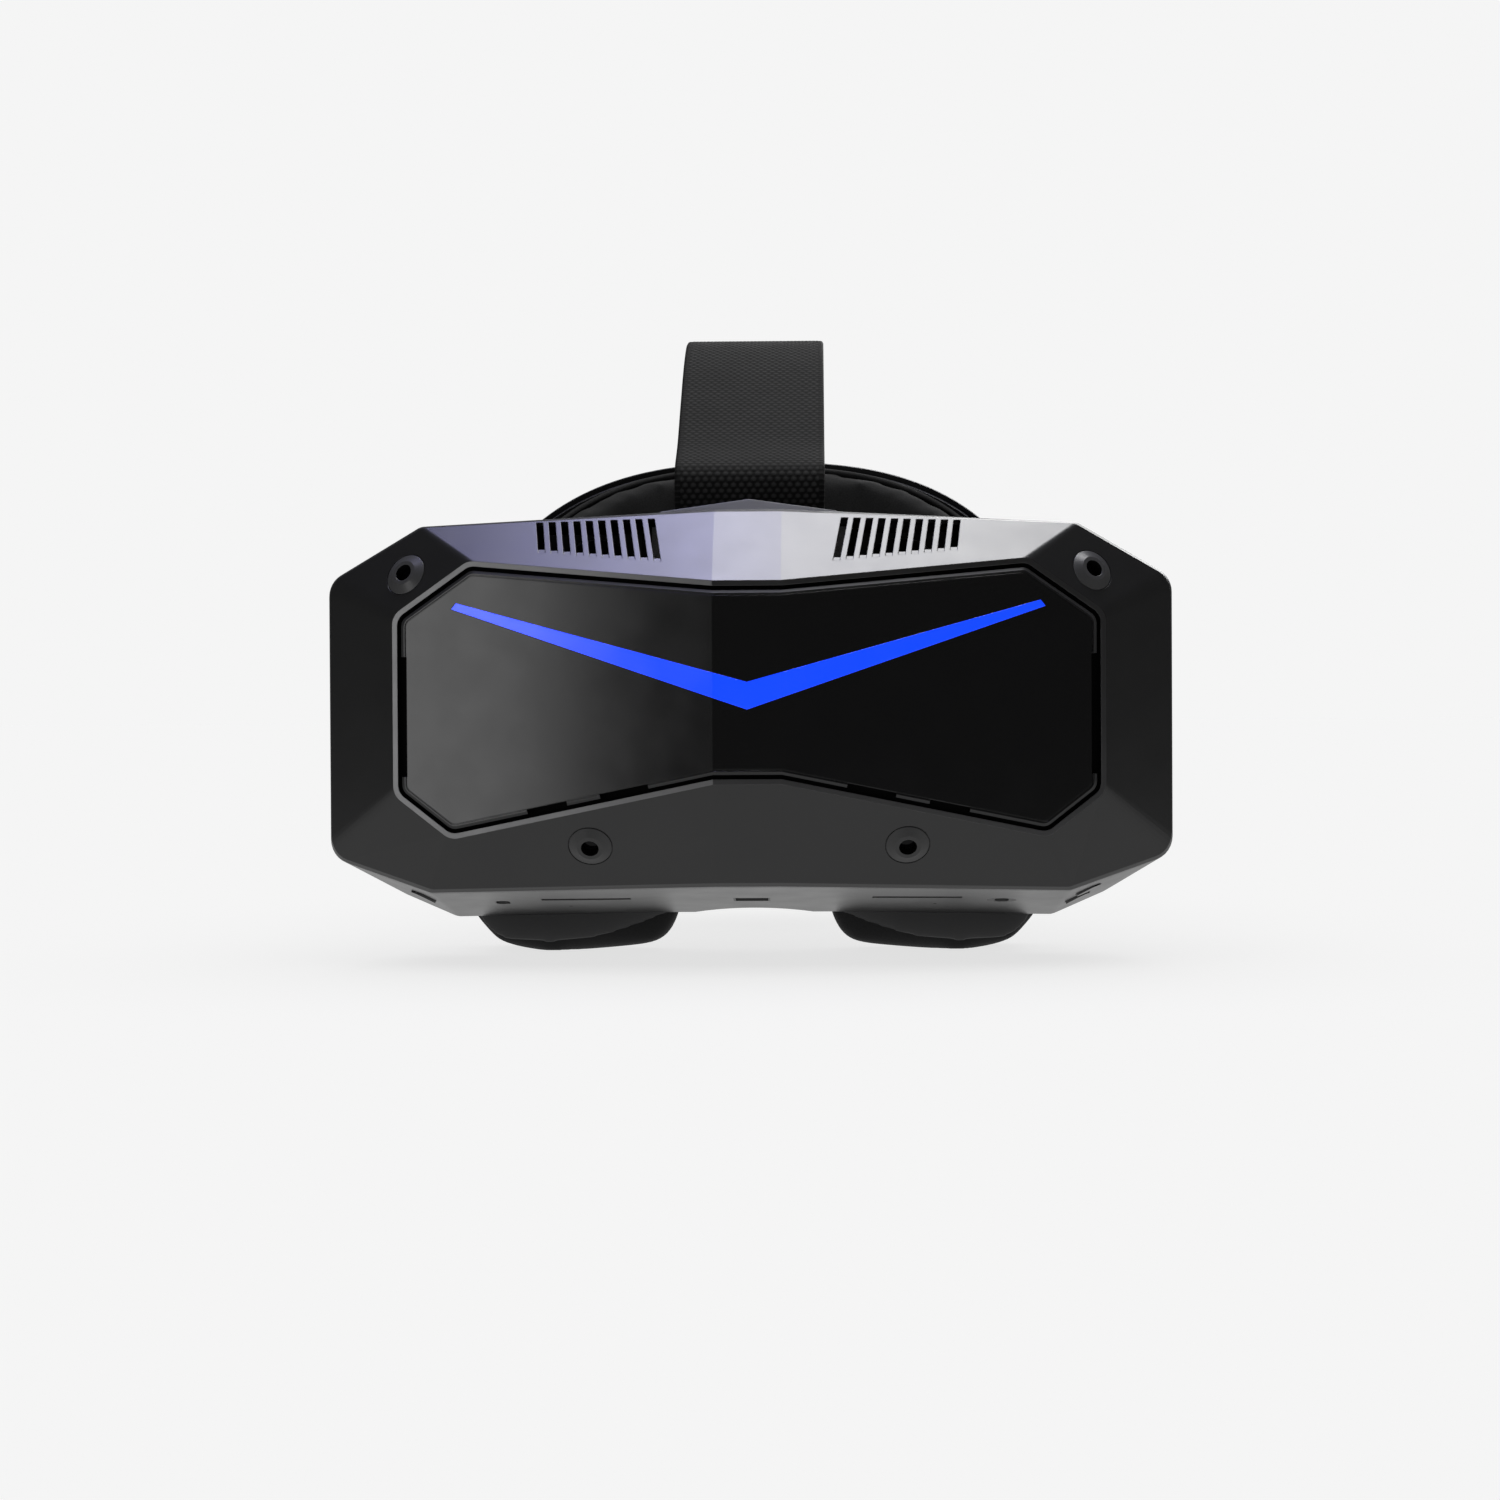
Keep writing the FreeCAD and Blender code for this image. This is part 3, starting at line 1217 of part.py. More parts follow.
def build():
    """Every piece by its name."""
    lip, front_bevel, rear_bevel, rear = visor_rings()
    outside = visor_outside(lip, front_bevel, rear_bevel, rear)
    inside = visor_inside()
    seam_a = towards(rear_bevel, rear, 2.0)
    seam_b = towards(rear_bevel, rear, 2.0 + SEAM_GAP)
    parts = {}
    parts["front_shell"] = front_shell(inside, [front_bevel, rear_bevel, seam_a], lip)
    parts["rear_shell"] = rear_shell(inside, [seam_b, rear])
    parts["top_cover"] = top_cover([outside, parts["front_shell"], parts["rear_shell"]])
    parts["bulkhead"] = bulkhead(inside)
    parts["plate_magnets"] = Part.Compound(plate_magnets())
    parts["strap_anchor"] = strap_anchor()
    lenses = []
    for name, (place, normal) in camera_frames().items():
        parts["camera_bezel_" + name] = camera_bezel(place, normal)
        lenses.append(camera_lens(place, normal))
    parts["camera_lenses"] = Part.Compound(lenses)
    parts["main_board"] = main_board()
    parts["heat_sink"] = heat_sink()
    parts["fan_housing_right"] = fan_housing()
    parts["fan_housing_left"] = mirrored(fan_housing())
    parts["fan_rotor_right"] = fan_rotor()
    parts["fan_rotor_left"] = mirrored(fan_rotor())
    parts["usb_socket"] = usb_socket(outside)
    parts["headphone_jack"] = headphone_jack(outside)
    parts["microphones"] = microphones()
    parts["proximity_sensor"] = proximity_sensor()
    parts["shell_screws"] = shell_screws()
    parts["cover_plate"] = cover_plate()
    parts["accent_strip"] = accent_strip()
    for name in BUTTONS:
        parts[name] = button(name)
    for side, word in ((-1, "left"), (1, "right")):
        parts["lens_barrel_" + word] = lens_barrel(side)
        parts["eye_lens_" + word] = eye_lens(side)
        parts["display_" + word] = display(side)
    parts["ipd_rack_left"], parts["ipd_rack_right"] = ipd_racks()
    parts["ipd_pinion"] = ipd_pinion()
    parts["ipd_motor"] = ipd_motor()
    parts["ipd_rod_upper"] = guide_rod(EYE_Z + ROD_RISE)
    parts["ipd_rod_lower"] = guide_rod(EYE_Z - ROD_RISE)
    parts["gasket_frame"] = gasket_frame()
    parts["face_foam"] = face_foam()
    parts["nose_flap"] = nose_flap(parts["gasket_frame"], parts["face_foam"])
    parts["hinge_bracket_right"] = hinge_bracket()
    parts["hinge_bracket_left"] = mirrored(hinge_bracket())
    parts["arm_right"] = harness(arm())
    parts["arm_left"] = harness(mirrored(arm()))
    parts["speaker_pod_right"] = harness(speaker_pod())
    parts["speaker_pod_left"] = harness(mirrored(speaker_pod()))
    grille = speaker_grille()
    parts["speaker_grilles"] = Part.Compound([harness(grille), harness(mirrored(grille))])
    parts["cradle_shell"] = harness(cradle_shell())
    parts["cradle_liner"] = harness(cradle_liner())
    parts["cradle_pad"] = harness(cradle_pad())
    parts["band_rack_right"] = harness(band_rack(1))
    parts["band_rack_left"] = harness(mirrored(band_rack(-1)))
    parts["dial_pinion"] = harness(dial_pinion())
    parts["dial_knob"] = harness(dial_knob())
    parts["top_strap_front"] = strap_solid(STRAP_FRONT)
    parts["top_strap_rear"] = strap_solid(STRAP_REAR)
    parts["crown_clip"] = crown_clip()
    return parts


def main():
    os.makedirs("parts", exist_ok=True)
    low = V(1e9, 1e9, 1e9)
    high = V(-1e9, -1e9, -1e9)
    for name, shape in build().items():
        shape.exportStep("parts/" + name + ".step")
        edge = shape.BoundBox
        low = V(min(low.x, edge.XMin), min(low.y, edge.YMin), min(low.z, edge.ZMin))
        high = V(max(high.x, edge.XMax), max(high.y, edge.YMax), max(high.z, edge.ZMax))
        print(name, "solids", len(shape.Solids), "valid", shape.isValid(),
              "volume %.1f" % shape.Volume)
    print("box", [round(v, 2) for v in (low.x, low.y, low.z, high.x, high.y, high.z)])


main()
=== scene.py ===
"""Looks of a VR headset with its head harness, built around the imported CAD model.

All lengths are metres in the frame's own coordinates: the cover plate faces -Y, up is +Z, and the
harness runs back along +Y.
"""

import json
import math

import bmesh
import bpy
from mathutils import Matrix, Vector
from mathutils.kdtree import KDTree


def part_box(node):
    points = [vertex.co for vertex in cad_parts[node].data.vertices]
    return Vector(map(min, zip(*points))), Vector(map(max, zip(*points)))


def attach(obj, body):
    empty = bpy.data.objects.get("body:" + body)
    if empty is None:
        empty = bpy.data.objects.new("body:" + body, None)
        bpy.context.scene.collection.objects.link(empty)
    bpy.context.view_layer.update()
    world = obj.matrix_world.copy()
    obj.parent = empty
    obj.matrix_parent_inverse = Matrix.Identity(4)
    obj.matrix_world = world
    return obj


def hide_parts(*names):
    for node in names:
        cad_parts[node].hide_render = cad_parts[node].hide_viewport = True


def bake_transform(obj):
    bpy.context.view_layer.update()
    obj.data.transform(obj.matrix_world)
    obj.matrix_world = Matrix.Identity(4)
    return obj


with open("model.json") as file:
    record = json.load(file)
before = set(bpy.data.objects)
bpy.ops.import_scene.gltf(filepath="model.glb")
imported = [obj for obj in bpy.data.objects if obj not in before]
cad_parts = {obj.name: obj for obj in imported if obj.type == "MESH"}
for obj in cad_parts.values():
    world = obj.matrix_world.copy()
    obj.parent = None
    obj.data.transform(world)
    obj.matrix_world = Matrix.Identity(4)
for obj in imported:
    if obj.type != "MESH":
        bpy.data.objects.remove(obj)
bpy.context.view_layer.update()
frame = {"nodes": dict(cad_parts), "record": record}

MM = 0.001
FRONT_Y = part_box("cover_plate")[0].y      # the cover plate's face, which is depth 0
PIVOT = Vector((0, FRONT_Y + 111 * MM, 93.5 * MM))    # middle of the temple pivots' axis
HARNESS_TILT = math.radians(10.5)         # how far the harness climbs towards the back


def at(x, depth, z):
    """A point from millimetres: x, depth behind the cover plate's face, height."""
    return Vector((x * MM, FRONT_Y + depth * MM, z * MM))


# ---- camera ---------------------------------------------------------------------------------

CAMERA_PLACE = Vector((0.0225, -1.1576, 0.0880))
CAMERA_YAW = math.radians(-1.237)
CAMERA_PITCH = math.radians(-0.914)
CAMERA_ROLL = math.radians(0.315)
CAMERA_LENS = 75.57


def make_camera():
    data = bpy.data.cameras.new("camera")
    data.sensor_width = 36.0
    data.lens = CAMERA_LENS
    camera = bpy.data.objects.new("camera", data)
    bpy.context.scene.collection.objects.link(camera)
    camera.location = CAMERA_PLACE
    level = Matrix.Rotation(math.pi / 2 + CAMERA_PITCH, 4, "X")
    turn = Matrix.Rotation(-CAMERA_YAW, 4, "Z")
    camera.rotation_mode = "QUATERNION"
    camera.rotation_quaternion = (turn @ level @ Matrix.Rotation(-CAMERA_ROLL, 4, "Z")).to_quaternion()
    bpy.context.scene.camera = camera


make_camera()

# ---- material helpers -----------------------------------------------------------------------


def node(tree, kind, inputs=None, **settings):
    """Adds a shader node; inputs hold numbers or sockets to link, settings hold its properties."""
    made = tree.nodes.new("ShaderNode" + kind)
    for key, value in settings.items():
        setattr(made, key, value)
    for key, value in (inputs or {}).items():
        if isinstance(value, bpy.types.NodeSocket):
            tree.links.new(value, made.inputs[key])
        else:
            made.inputs[key].default_value = value
    return made


def scaled(tree, vector, factor):
    return node(tree, "VectorMath", {0: vector, "Scale": factor}, operation="SCALE").outputs[0]


def maths(tree, operation, a, b=0.0):
    return node(tree, "Math", {0: a, 1: b}, operation=operation).outputs[0]


def mapped(tree, value, low, high, new_low, new_high):
    sockets = {"Value": value, "From Min": low, "From Max": high, "To Min": new_low, "To Max": new_high}
    return node(tree, "MapRange", sockets).outputs[0]


def mixed(tree, factor, a, b):
    """One colour mixed into another."""
    made = node(tree, "Mix", data_type="RGBA")
    for index, value in ((0, factor), (6, a), (7, b)):
        if isinstance(value, bpy.types.NodeSocket):
            tree.links.new(value, made.inputs[index])
        elif index == 0:
            made.inputs[index].default_value = value
        else:
            made.inputs[index].default_value = (*value[:3], 1.0)
    return made.outputs[2]


def noise_at(tree, coords, size, detail=2.0):
    """A noise pattern whose blotches are about size metres across."""
    sockets = {"Vector": coords, "Scale": 1.0 / size, "Detail": detail}
    return node(tree, "TexNoise", sockets).outputs[0]


def start_material(name, rough, **values):
    """A material with one principled shader; values are set on the shader's own sockets."""
    material = bpy.data.materials.new(name)
    material.use_nodes = True
    tree = material.node_tree
    shader = tree.nodes["Principled BSDF"]
    shader.inputs["Roughness"].default_value = rough
    for key, value in values.items():
        shader.inputs[key.replace("_", " ")].default_value = value
    coords = node(tree, "TexCoord").outputs["Object"]
    return material, tree, shader, coords


def edge_mask(tree, radius):
    """The normal with its edges rounded, and how near a point is to an edge."""
    rounded = node(tree, "Bevel", {"Radius": radius}, samples=4).outputs[0]
    true_normal = node(tree, "NewGeometry").outputs["Normal"]
    cosine = node(tree, "VectorMath", {0: rounded, 1: true_normal}, operation="DOT_PRODUCT")
    return rounded, mapped(tree, cosine.outputs["Value"], 0.999, 0.93, 0.0, 1.0)


def moulded(name, colour, rough, grain=0.35 * MM, depth=0.02 * MM, edge=0.35 * MM, painted_edge_gain=1.6,
            spread=0.06, rough_spread=0.02, **values):
    """Moulded plastic: fine grain, slow tone changes, and every edge, inner corners too, made a little
    lighter in patches: a painted highlight along the edges that on outer edges also stands for rubbing.
    """
    material, tree, shader, coords = start_material(name, rough, **values)
    rounded, near_edge = edge_mask(tree, edge)
    tone = mapped(tree, noise_at(tree, coords, 28 * MM, 3.0), 0.3, 0.7, 1 - spread, 1 + spread)
    base = scaled(tree, colour, tone)
    # painted highlight: edges and inner corners are mixed towards a lighter tone in patches, as if they
    # caught the light; on outer edges this also stands for rubbing
    painted_edge_colour = [channel * painted_edge_gain + 0.002 for channel in colour]
    edge_patches = mapped(tree, noise_at(tree, coords, 6 * MM), 0.35, 0.6, 0.2, 1.0)
    painted_edge_mask = maths(tree, "MULTIPLY", near_edge, edge_patches)
    tree.links.new(mixed(tree, painted_edge_mask, base, painted_edge_colour), shader.inputs["Base Color"])
    smudge = noise_at(tree, coords, 12 * MM, 4.0)
    tree.links.new(mapped(tree, smudge, 0.3, 0.7, rough - rough_spread, rough + rough_spread),
                   shader.inputs["Roughness"])
    bump = node(tree, "Bump", {"Height": noise_at(tree, coords, grain), "Distance": depth,
                               "Strength": 1.0, "Normal": rounded})
    tree.links.new(bump.outputs[0], shader.inputs["Normal"])
    return material


def gloss(name, colour, rough, **values):
    """Polished plastic or coated glass, with faint smudges and a trace of orange peel."""
    return moulded(name, colour, rough, grain=5 * MM, depth=0.004 * MM, edge=0.25 * MM, painted_edge_gain=1.3,
                   spread=0.05, rough_spread=0.02, **values)


def metal(name, colour, rough, stretch=(1, 1, 1), **values):
    """Metal with brush lines along the axes that stretch leaves at 1, and a painted highlight: a lighter
    colour along every edge.
    """
    material, tree, shader, coords = start_material(name, rough, Metallic=1.0, **values)
    rounded, near_edge = edge_mask(tree, 0.2 * MM)
    lines = node(tree, "VectorMath", {0: coords, 1: stretch}, operation="MULTIPLY").outputs[0]
    brush = noise_at(tree, lines, 0.4 * MM, 3.0)
    tone = mapped(tree, brush, 0.3, 0.7, 0.85, 1.1)
    # painted highlight: every edge gets a lighter colour than the metal round it
    bright = [min(1.0, channel * 1.25) for channel in colour]
    base = mixed(tree, near_edge, scaled(tree, colour, tone), bright)
    tree.links.new(base, shader.inputs["Base Color"])
    tree.links.new(mapped(tree, brush, 0.3, 0.7, rough - 0.08, rough + 0.08), shader.inputs["Roughness"])
    bump = node(tree, "Bump", {"Height": brush, "Distance": 0.01 * MM,
                               "Strength": 0.6, "Normal": rounded})
    tree.links.new(bump.outputs[0], shader.inputs["Normal"])
    return material


def hide(name, colour, cell, depth, rough, **values):
    """Coated cloth or leather: pebbled grain with fine creases."""
    material, tree, shader, coords = start_material(name, rough, **values)
    pebbles = node(tree, "TexVoronoi", {"Vector": coords, "Scale": 1 / cell, "Randomness": 0.9},
                   feature="DISTANCE_TO_EDGE").outputs["Distance"]
    crease = mapped(tree, pebbles, 0.0, 0.12, 0.0, 1.0)
    cloud = noise_at(tree, coords, 22 * MM, 3.0)
    wear = mapped(tree, cloud, 0.3, 0.7, 0.85, 1.15)
    tone = maths(tree, "MULTIPLY", mapped(tree, crease, 0.0, 1.0, 0.7, 1.0), wear)
    tree.links.new(scaled(tree, colour, tone), shader.inputs["Base Color"])
    tree.links.new(mapped(tree, cloud, 0.3, 0.7, rough - 0.06, rough + 0.06), shader.inputs["Roughness"])
    bump = node(tree, "Bump", {"Height": crease, "Distance": depth, "Strength": 0.7})
    tree.links.new(bump.outputs[0], shader.inputs["Normal"])
    return material


def webbing_material(name, low, high):
    """Woven nylon: the picks of the mesh's own relief painted lighter on their tops and darker between
    them, a painted highlight and painted shade, with threads running along them.
    """
    material, tree, shader, coords = start_material(name, 0.8, Specular_IOR_Level=0.2)
    relief = node(tree, "Attribute", attribute_name="weave").outputs["Fac"]
    threads = node(tree, "VectorMath", {0: coords, 1: (1.0, 0.28, 0.28)}, operation="MULTIPLY")
    fibre = noise_at(tree, threads.outputs[0], 0.14 * MM, 2.0)
    cloud = noise_at(tree, coords, 16 * MM, 2.0)
    wear = mapped(tree, cloud, 0.3, 0.7, 0.88, 1.12)
    tone = maths(tree, "MULTIPLY", mapped(tree, fibre, 0.3, 0.7, 0.7, 1.3), wear)
    # painted highlight and shade: the higher a point of the relief, the lighter its colour
    lit_pick_share = mapped(tree, relief, 0.35, 1.0, 0.0, 1.0)
    tree.links.new(scaled(tree, mixed(tree, lit_pick_share, low, high), tone), shader.inputs["Base Color"])
    tree.links.new(mapped(tree, fibre, 0.3, 0.7, 0.72, 0.88), shader.inputs["Roughness"])
    bump = node(tree, "Bump", {"Height": fibre, "Distance": 0.06 * MM, "Strength": 0.8})
    tree.links.new(bump.outputs[0], shader.inputs["Normal"])
    return material


def board_material(name):
    """Solder mask over copper tracks, with rows of bright pads."""
    material, tree, shader, coords = start_material(name, 0.35, Coat_Weight=0.3)
    tracks = node(tree, "TexBrick", {"Vector": coords, "Scale": 160.0, "Mortar Size": 0.03,
                                     "Color1": (0.006, 0.05, 0.02, 1),
                                     "Color2": (0.008, 0.065, 0.027, 1),
                                     "Mortar": (0.02, 0.14, 0.06, 1)})
    pads = node(tree, "TexVoronoi", {"Vector": coords, "Scale": 420.0, "Randomness": 0.15})
    pad = mapped(tree, pads.outputs["Distance"], 0.16, 0.12, 0.0, 1.0)
    base = mixed(tree, pad, tracks.outputs["Color"], (0.45, 0.36, 0.14))
    tree.links.new(base, shader.inputs["Base Color"])
    tree.links.new(maths(tree, "MULTIPLY", pad, 0.9), shader.inputs["Metallic"])
    bump = node(tree, "Bump", {"Height": pad, "Distance": 0.03 * MM})
    tree.links.new(bump.outputs[0], shader.inputs["Normal"])
    return material


def clear_material(name, tint, rough):
    """Clear moulded plastic whose surface is very slightly uneven."""
    material, tree, shader, coords = start_material(
        name, rough, Transmission_Weight=1.0, IOR=1.49, Coat_Weight=0.5, Coat_Roughness=0.02)
    tone = mapped(tree, noise_at(tree, coords, 20 * MM), 0.3, 0.7, 0.96, 1.0)
    tree.links.new(scaled(tree, tint, tone), shader.inputs["Base Color"])
    bump = node(tree, "Bump", {"Height": noise_at(tree, coords, 3 * MM), "Distance": 0.001 * MM})
    tree.links.new(bump.outputs[0], shader.inputs["Normal"])
    return material


def display_material(name):
    """A dark screen with the faint grid of its pixels under the glass."""
    material, tree, shader, coords = start_material(name, 0.08, Coat_Weight=1.0, Coat_Roughness=0.03)
    cells = node(tree, "TexVoronoi", {"Vector": coords, "Scale": 2500.0, "Randomness": 0.0})
    grid = cells.outputs["Distance"]
    share = mapped(tree, grid, 0.2, 0.6, 1.0, 0.2)
    colour = mixed(tree, share, (0.002, 0.002, 0.003), (0.012, 0.014, 0.022))
    tree.links.new(colour, shader.inputs["Base Color"])
    bump = node(tree, "Bump", {"Height": grid, "Distance": 0.002 * MM})
    tree.links.new(bump.outputs[0], shader.inputs["Normal"])
    return material


# ---- materials ------------------------------------------------------------------------------

SATIN = (0.011, 0.011, 0.0113)
BLUE = (0.002, 0.052, 1.0)
MATERIALS = {
    "case_black": moulded("case_black", SATIN, 0.33, depth=0.012 * MM),
    "case_rear": moulded("case_rear", SATIN, 0.31, depth=0.007 * MM),
    "cover_black": moulded("cover_black", SATIN, 0.30),
    "rim_satin": moulded("rim_satin", (0.13, 0.13, 0.132), 0.3, edge=0.2 * MM, painted_edge_gain=1.2, Metallic=1.0),
    # painted highlight: the cover plate's bevel gets a lighter grey than the glossy plate, standing in
    # for the light line along it
    "plate_rim_highlight": moulded("plate_rim_highlight", (0.03, 0.03, 0.0305), 0.45, edge=0.2 * MM, Specular_IOR_Level=0.2),
    "plate_gloss": gloss("plate_gloss", (0.003, 0.003, 0.0032), 0.15),
    # the blue accent glows by emission though it is no lamp: a painted glow on top of its lit blue
    "accent_blue": gloss("accent_blue", BLUE, 0.15, Specular_IOR_Level=0.8,
                         Emission_Color=(*BLUE, 1), Emission_Strength=0.75),
    "bezel_grey": moulded("bezel_grey", (0.016, 0.016, 0.0165), 0.30, grain=0.2 * MM),
    # lit copy of the bezel grey for the upper bezels: painted light, as their facets face the lamps
    # overhead
    "bezel_painted_lit": moulded("bezel_painted_lit", (0.045, 0.045, 0.046), 0.34, grain=0.2 * MM),
    "lens_dark": gloss("lens_dark", (0.002, 0.002, 0.0025), 0.05, Specular_IOR_Level=0.12),
    "lens_clear": clear_material("lens_clear", (0.93, 0.95, 0.97), 0.02),
    "steel": metal("steel", (0.52, 0.52, 0.53), 0.3, (1, 8, 8)),
    "motor_metal": metal("motor_metal", (0.5, 0.5, 0.52), 0.34, (8, 8, 1)),
    "board_green": board_material("board_green"),
    "heat_alu": metal("heat_alu", (0.55, 0.56, 0.58), 0.38, (8, 1, 8)),
    "hinge_metal": moulded("hinge_metal", (0.022, 0.022, 0.023), 0.42, grain=0.15 * MM, depth=0.03 * MM),
    "inner_plastic": moulded("inner_plastic", (0.02, 0.02, 0.02), 0.5),
    "display_glass": display_material("display_glass"),
    "mic_metal": metal("mic_metal", (0.6, 0.45, 0.2), 0.35),
    "button_black": moulded("button_black", SATIN, 0.28),
    "gasket_plastic": moulded("gasket_plastic", (0.022, 0.022, 0.0225), 0.6, Specular_IOR_Level=0.2),
    "harness_black": moulded("harness_black", (0.01, 0.01, 0.0103), 0.58, Specular_IOR_Level=0.25),
    "knob_rubber": moulded("knob_rubber", (0.014, 0.014, 0.015), 0.6, grain=0.25 * MM, depth=0.05 * MM),
    "grille": moulded("grille", (0.03, 0.03, 0.031), 0.4, grain=0.2 * MM),
    "rubber": moulded("rubber", (0.013, 0.013, 0.014), 0.62, grain=0.3 * MM, depth=0.04 * MM),
    "face_foam": hide("face_foam", (0.008, 0.008, 0.0083), 0.9 * MM, 0.03 * MM, 0.7,
                      Specular_IOR_Level=0.15),
    "pad_foam": hide("pad_foam", (0.022, 0.022, 0.0225), 1.1 * MM, 0.04 * MM, 0.8,
                     Specular_IOR_Level=0.12),
    # painted shade between the picks and painted highlight on them: the webbing's two tones
    "webbing": webbing_material("webbing", (0.004, 0.004, 0.0042), (0.029, 0.029, 0.0295)),
    # near black for the USB socket: painted shade for the dark inside of its slot
    "port_shade_black": moulded("port_shade_black", (0.012, 0.012, 0.0125), 0.45),
    # near black for painted shade: the recess round the cover plate and the camera bores
    "painted_shade_black": moulded("painted_shade_black", (0.002, 0.002, 0.002), 0.8, Specular_IOR_Level=0.05),
    "thread": moulded("thread", (0.03, 0.03, 0.031), 0.6, grain=0.15 * MM, depth=0.04 * MM),
}


def paint(obj, material):
    obj.data.materials.clear()
    obj.data.materials.append(MATERIALS[material])


def paint_faces(obj, material, chosen):
    """Gives some of an object's faces a second material."""
    obj.data.materials.append(MATERIALS[material])
    for face in obj.data.polygons:
        if chosen([obj.matrix_world @ obj.data.vertices[i].co for i in face.vertices], face.normal):
            face.material_index = len(obj.data.materials) - 1


SWEEP = math.tan(math.radians(12.0))      # how fast the face falls back outside its middle strip
STRIP_HALF = 11 * MM       # half width of that strip
LIP_DEPTH = 1 * MM         # how far the casing's lip lies behind the cover plate's face
RECESS_DEPTH = 3.8 * MM
NEARLY = 0.05 * MM         # depths closer than this count as the same


def depth_on_face(point):
    """Depth of a point behind the swept surface that the cover plate's face lies on."""
    return point.y - FRONT_Y - max(0.0, abs(point.x) - STRIP_HALF) * SWEEP


def on_lip(corners, _normal):
    """True for the casing's flat lip round the cover plate."""
    return all(abs(depth_on_face(corner) - LIP_DEPTH) < NEARLY for corner in corners)


def in_recess(corners, normal):
    """True for the walls and the floor of the recess that the cover plate sits in."""
    depths = [depth_on_face(corner) for corner in corners]
    inside = all(LIP_DEPTH - NEARLY < depth < RECESS_DEPTH + 2 * NEARLY for depth in depths)
    wall = inside and abs(normal.y) < 0.1
    return wall or all(abs(depth - RECESS_DEPTH) < NEARLY for depth in depths)


def on_rim(corners, normal):
    """True for the bevel round the cover plate."""
    sloping = 0.3 < -normal.y < 0.95
    return sloping and all(depth_on_face(corner) < LIP_DEPTH for corner in corners)


BORE_R = 3.0 * MM          # just over the radius of a camera's bore


def bezel_axis(bezel):
    """A point on a camera bezel's axis, and the axis, from its flat rear faces."""
    groups = {}
    for face in bezel.data.polygons:
        groups.setdefault(tuple(round(value, 2) for value in face.normal), []).append(face)
    flat = max(groups.values(), key=lambda faces: sum(face.area for face in faces))
    total = sum(face.area for face in flat)
    return sum((face.center * face.area for face in flat), Vector()) / total, flat[0].normal


def paint_bore(bezel):
    """Blackens the bore of a camera bezel: painted shade inside its hole."""
    middle, axis = bezel_axis(bezel)

    def in_bore(corners, _normal):
        offsets = [corner - middle for corner in corners]
        return all((offset - axis * offset.dot(axis)).length < BORE_R for offset in offsets)

    paint_faces(bezel, "painted_shade_black", in_bore)


def paint_cad_nodes():
    """Gives every CAD node the material of its slot in the record."""
    for part in frame["record"]["subparts"]:
        paint(frame["nodes"][part["node"]], part["material_slot"])
    # painted shade: the walls and floor of the recess round the cover plate are painted near black
    paint_faces(frame["nodes"]["front_shell"], "painted_shade_black", in_recess)
    paint_faces(frame["nodes"]["front_shell"], "rim_satin", on_lip)
    # painted highlight: the cover plate's bevel is painted a lighter grey than the plate
    paint_faces(frame["nodes"]["cover_plate"], "plate_rim_highlight", on_rim)
    # painted shade: the USB socket is painted near black for the shade in its slot
    paint(frame["nodes"]["usb_socket"], "port_shade_black")
    for name, obj in frame["nodes"].items():
        # the upper bezels get a lighter copy of their grey: painted light for the top light their facets
        # catch
        if name.startswith("camera_bezel_upper"):
            paint(obj, "bezel_painted_lit")
        if name.startswith("camera_bezel"):
            paint_bore(obj)


paint_cad_nodes()

# ---- mesh helpers ---------------------------------------------------------------------------


def add_mesh(name, verts, faces, material, smooth=True):
    mesh = bpy.data.meshes.new(name)
    mesh.from_pydata([tuple(v) for v in verts], [], faces)
    mesh.update()
    if smooth:
        mesh.shade_smooth()
    obj = bpy.data.objects.new(name, mesh)
    bpy.context.scene.collection.objects.link(obj)
    paint(obj, material)
    return obj


def harness_point(x, along, rise):
    """A point from the harness's own millimetres: x, distance along the arms, height over them."""
    point = Vector((x * MM, along * MM, rise * MM))
    point.rotate(Matrix.Rotation(HARNESS_TILT, 3, "X"))
    return PIVOT + point


# ---- webbing --------------------------------------------------------------------------------

STRAP_WIDTH = 50.5
STRAP_THICK = 1.8
PICK_ALONG = 1.85          # distance from one row of picks to the next
PICK_ACROSS = 2.7          # distance between the picks of a row
SELVEDGE = 2.2             # width of the strap's tight edge
STRAP_ROUND = 1.1          # width over which the strap's edge is rounded
WEAVE_RELIEF = 0.30        # how far the picks stand out
WEAVE_CORE = STRAP_THICK / 2 - 0.16       # half thickness of the strap between its picks
FRONT_PATH = [(58.5, 141.5), (58.5, 151), (58.5, 160), (60.2, 164.6), (64.6, 167.9), (84, 176.5),
              (110, 192.2), (135, 206.6), (158, 216.6), (174, 220.4), (188, 220.9), (204, 219.8),
              (222, 217.4), (236, 214.8), (248.6, 211.2), (261, 206.1), (274.5, 200.55)]
REAR_PATH = [(247.9, 209.4), (260.4, 204.3), (273.8, 198.75), (283, 194.2), (292.8, 187), (298, 180.4),
             (299, 173.5)]
CLIP_MIDDLE = (260.0, 202.0)
CLIP_TILT = math.radians(-22.4)
STITCH_RISE = 5.35         # height of the stitches over the middle of the clip
STITCH_BOX = (20.0, 10.0)  # half width and half length of the sewn box
STITCH_PITCH = 3.0
THREAD_R = 0.35 * MM


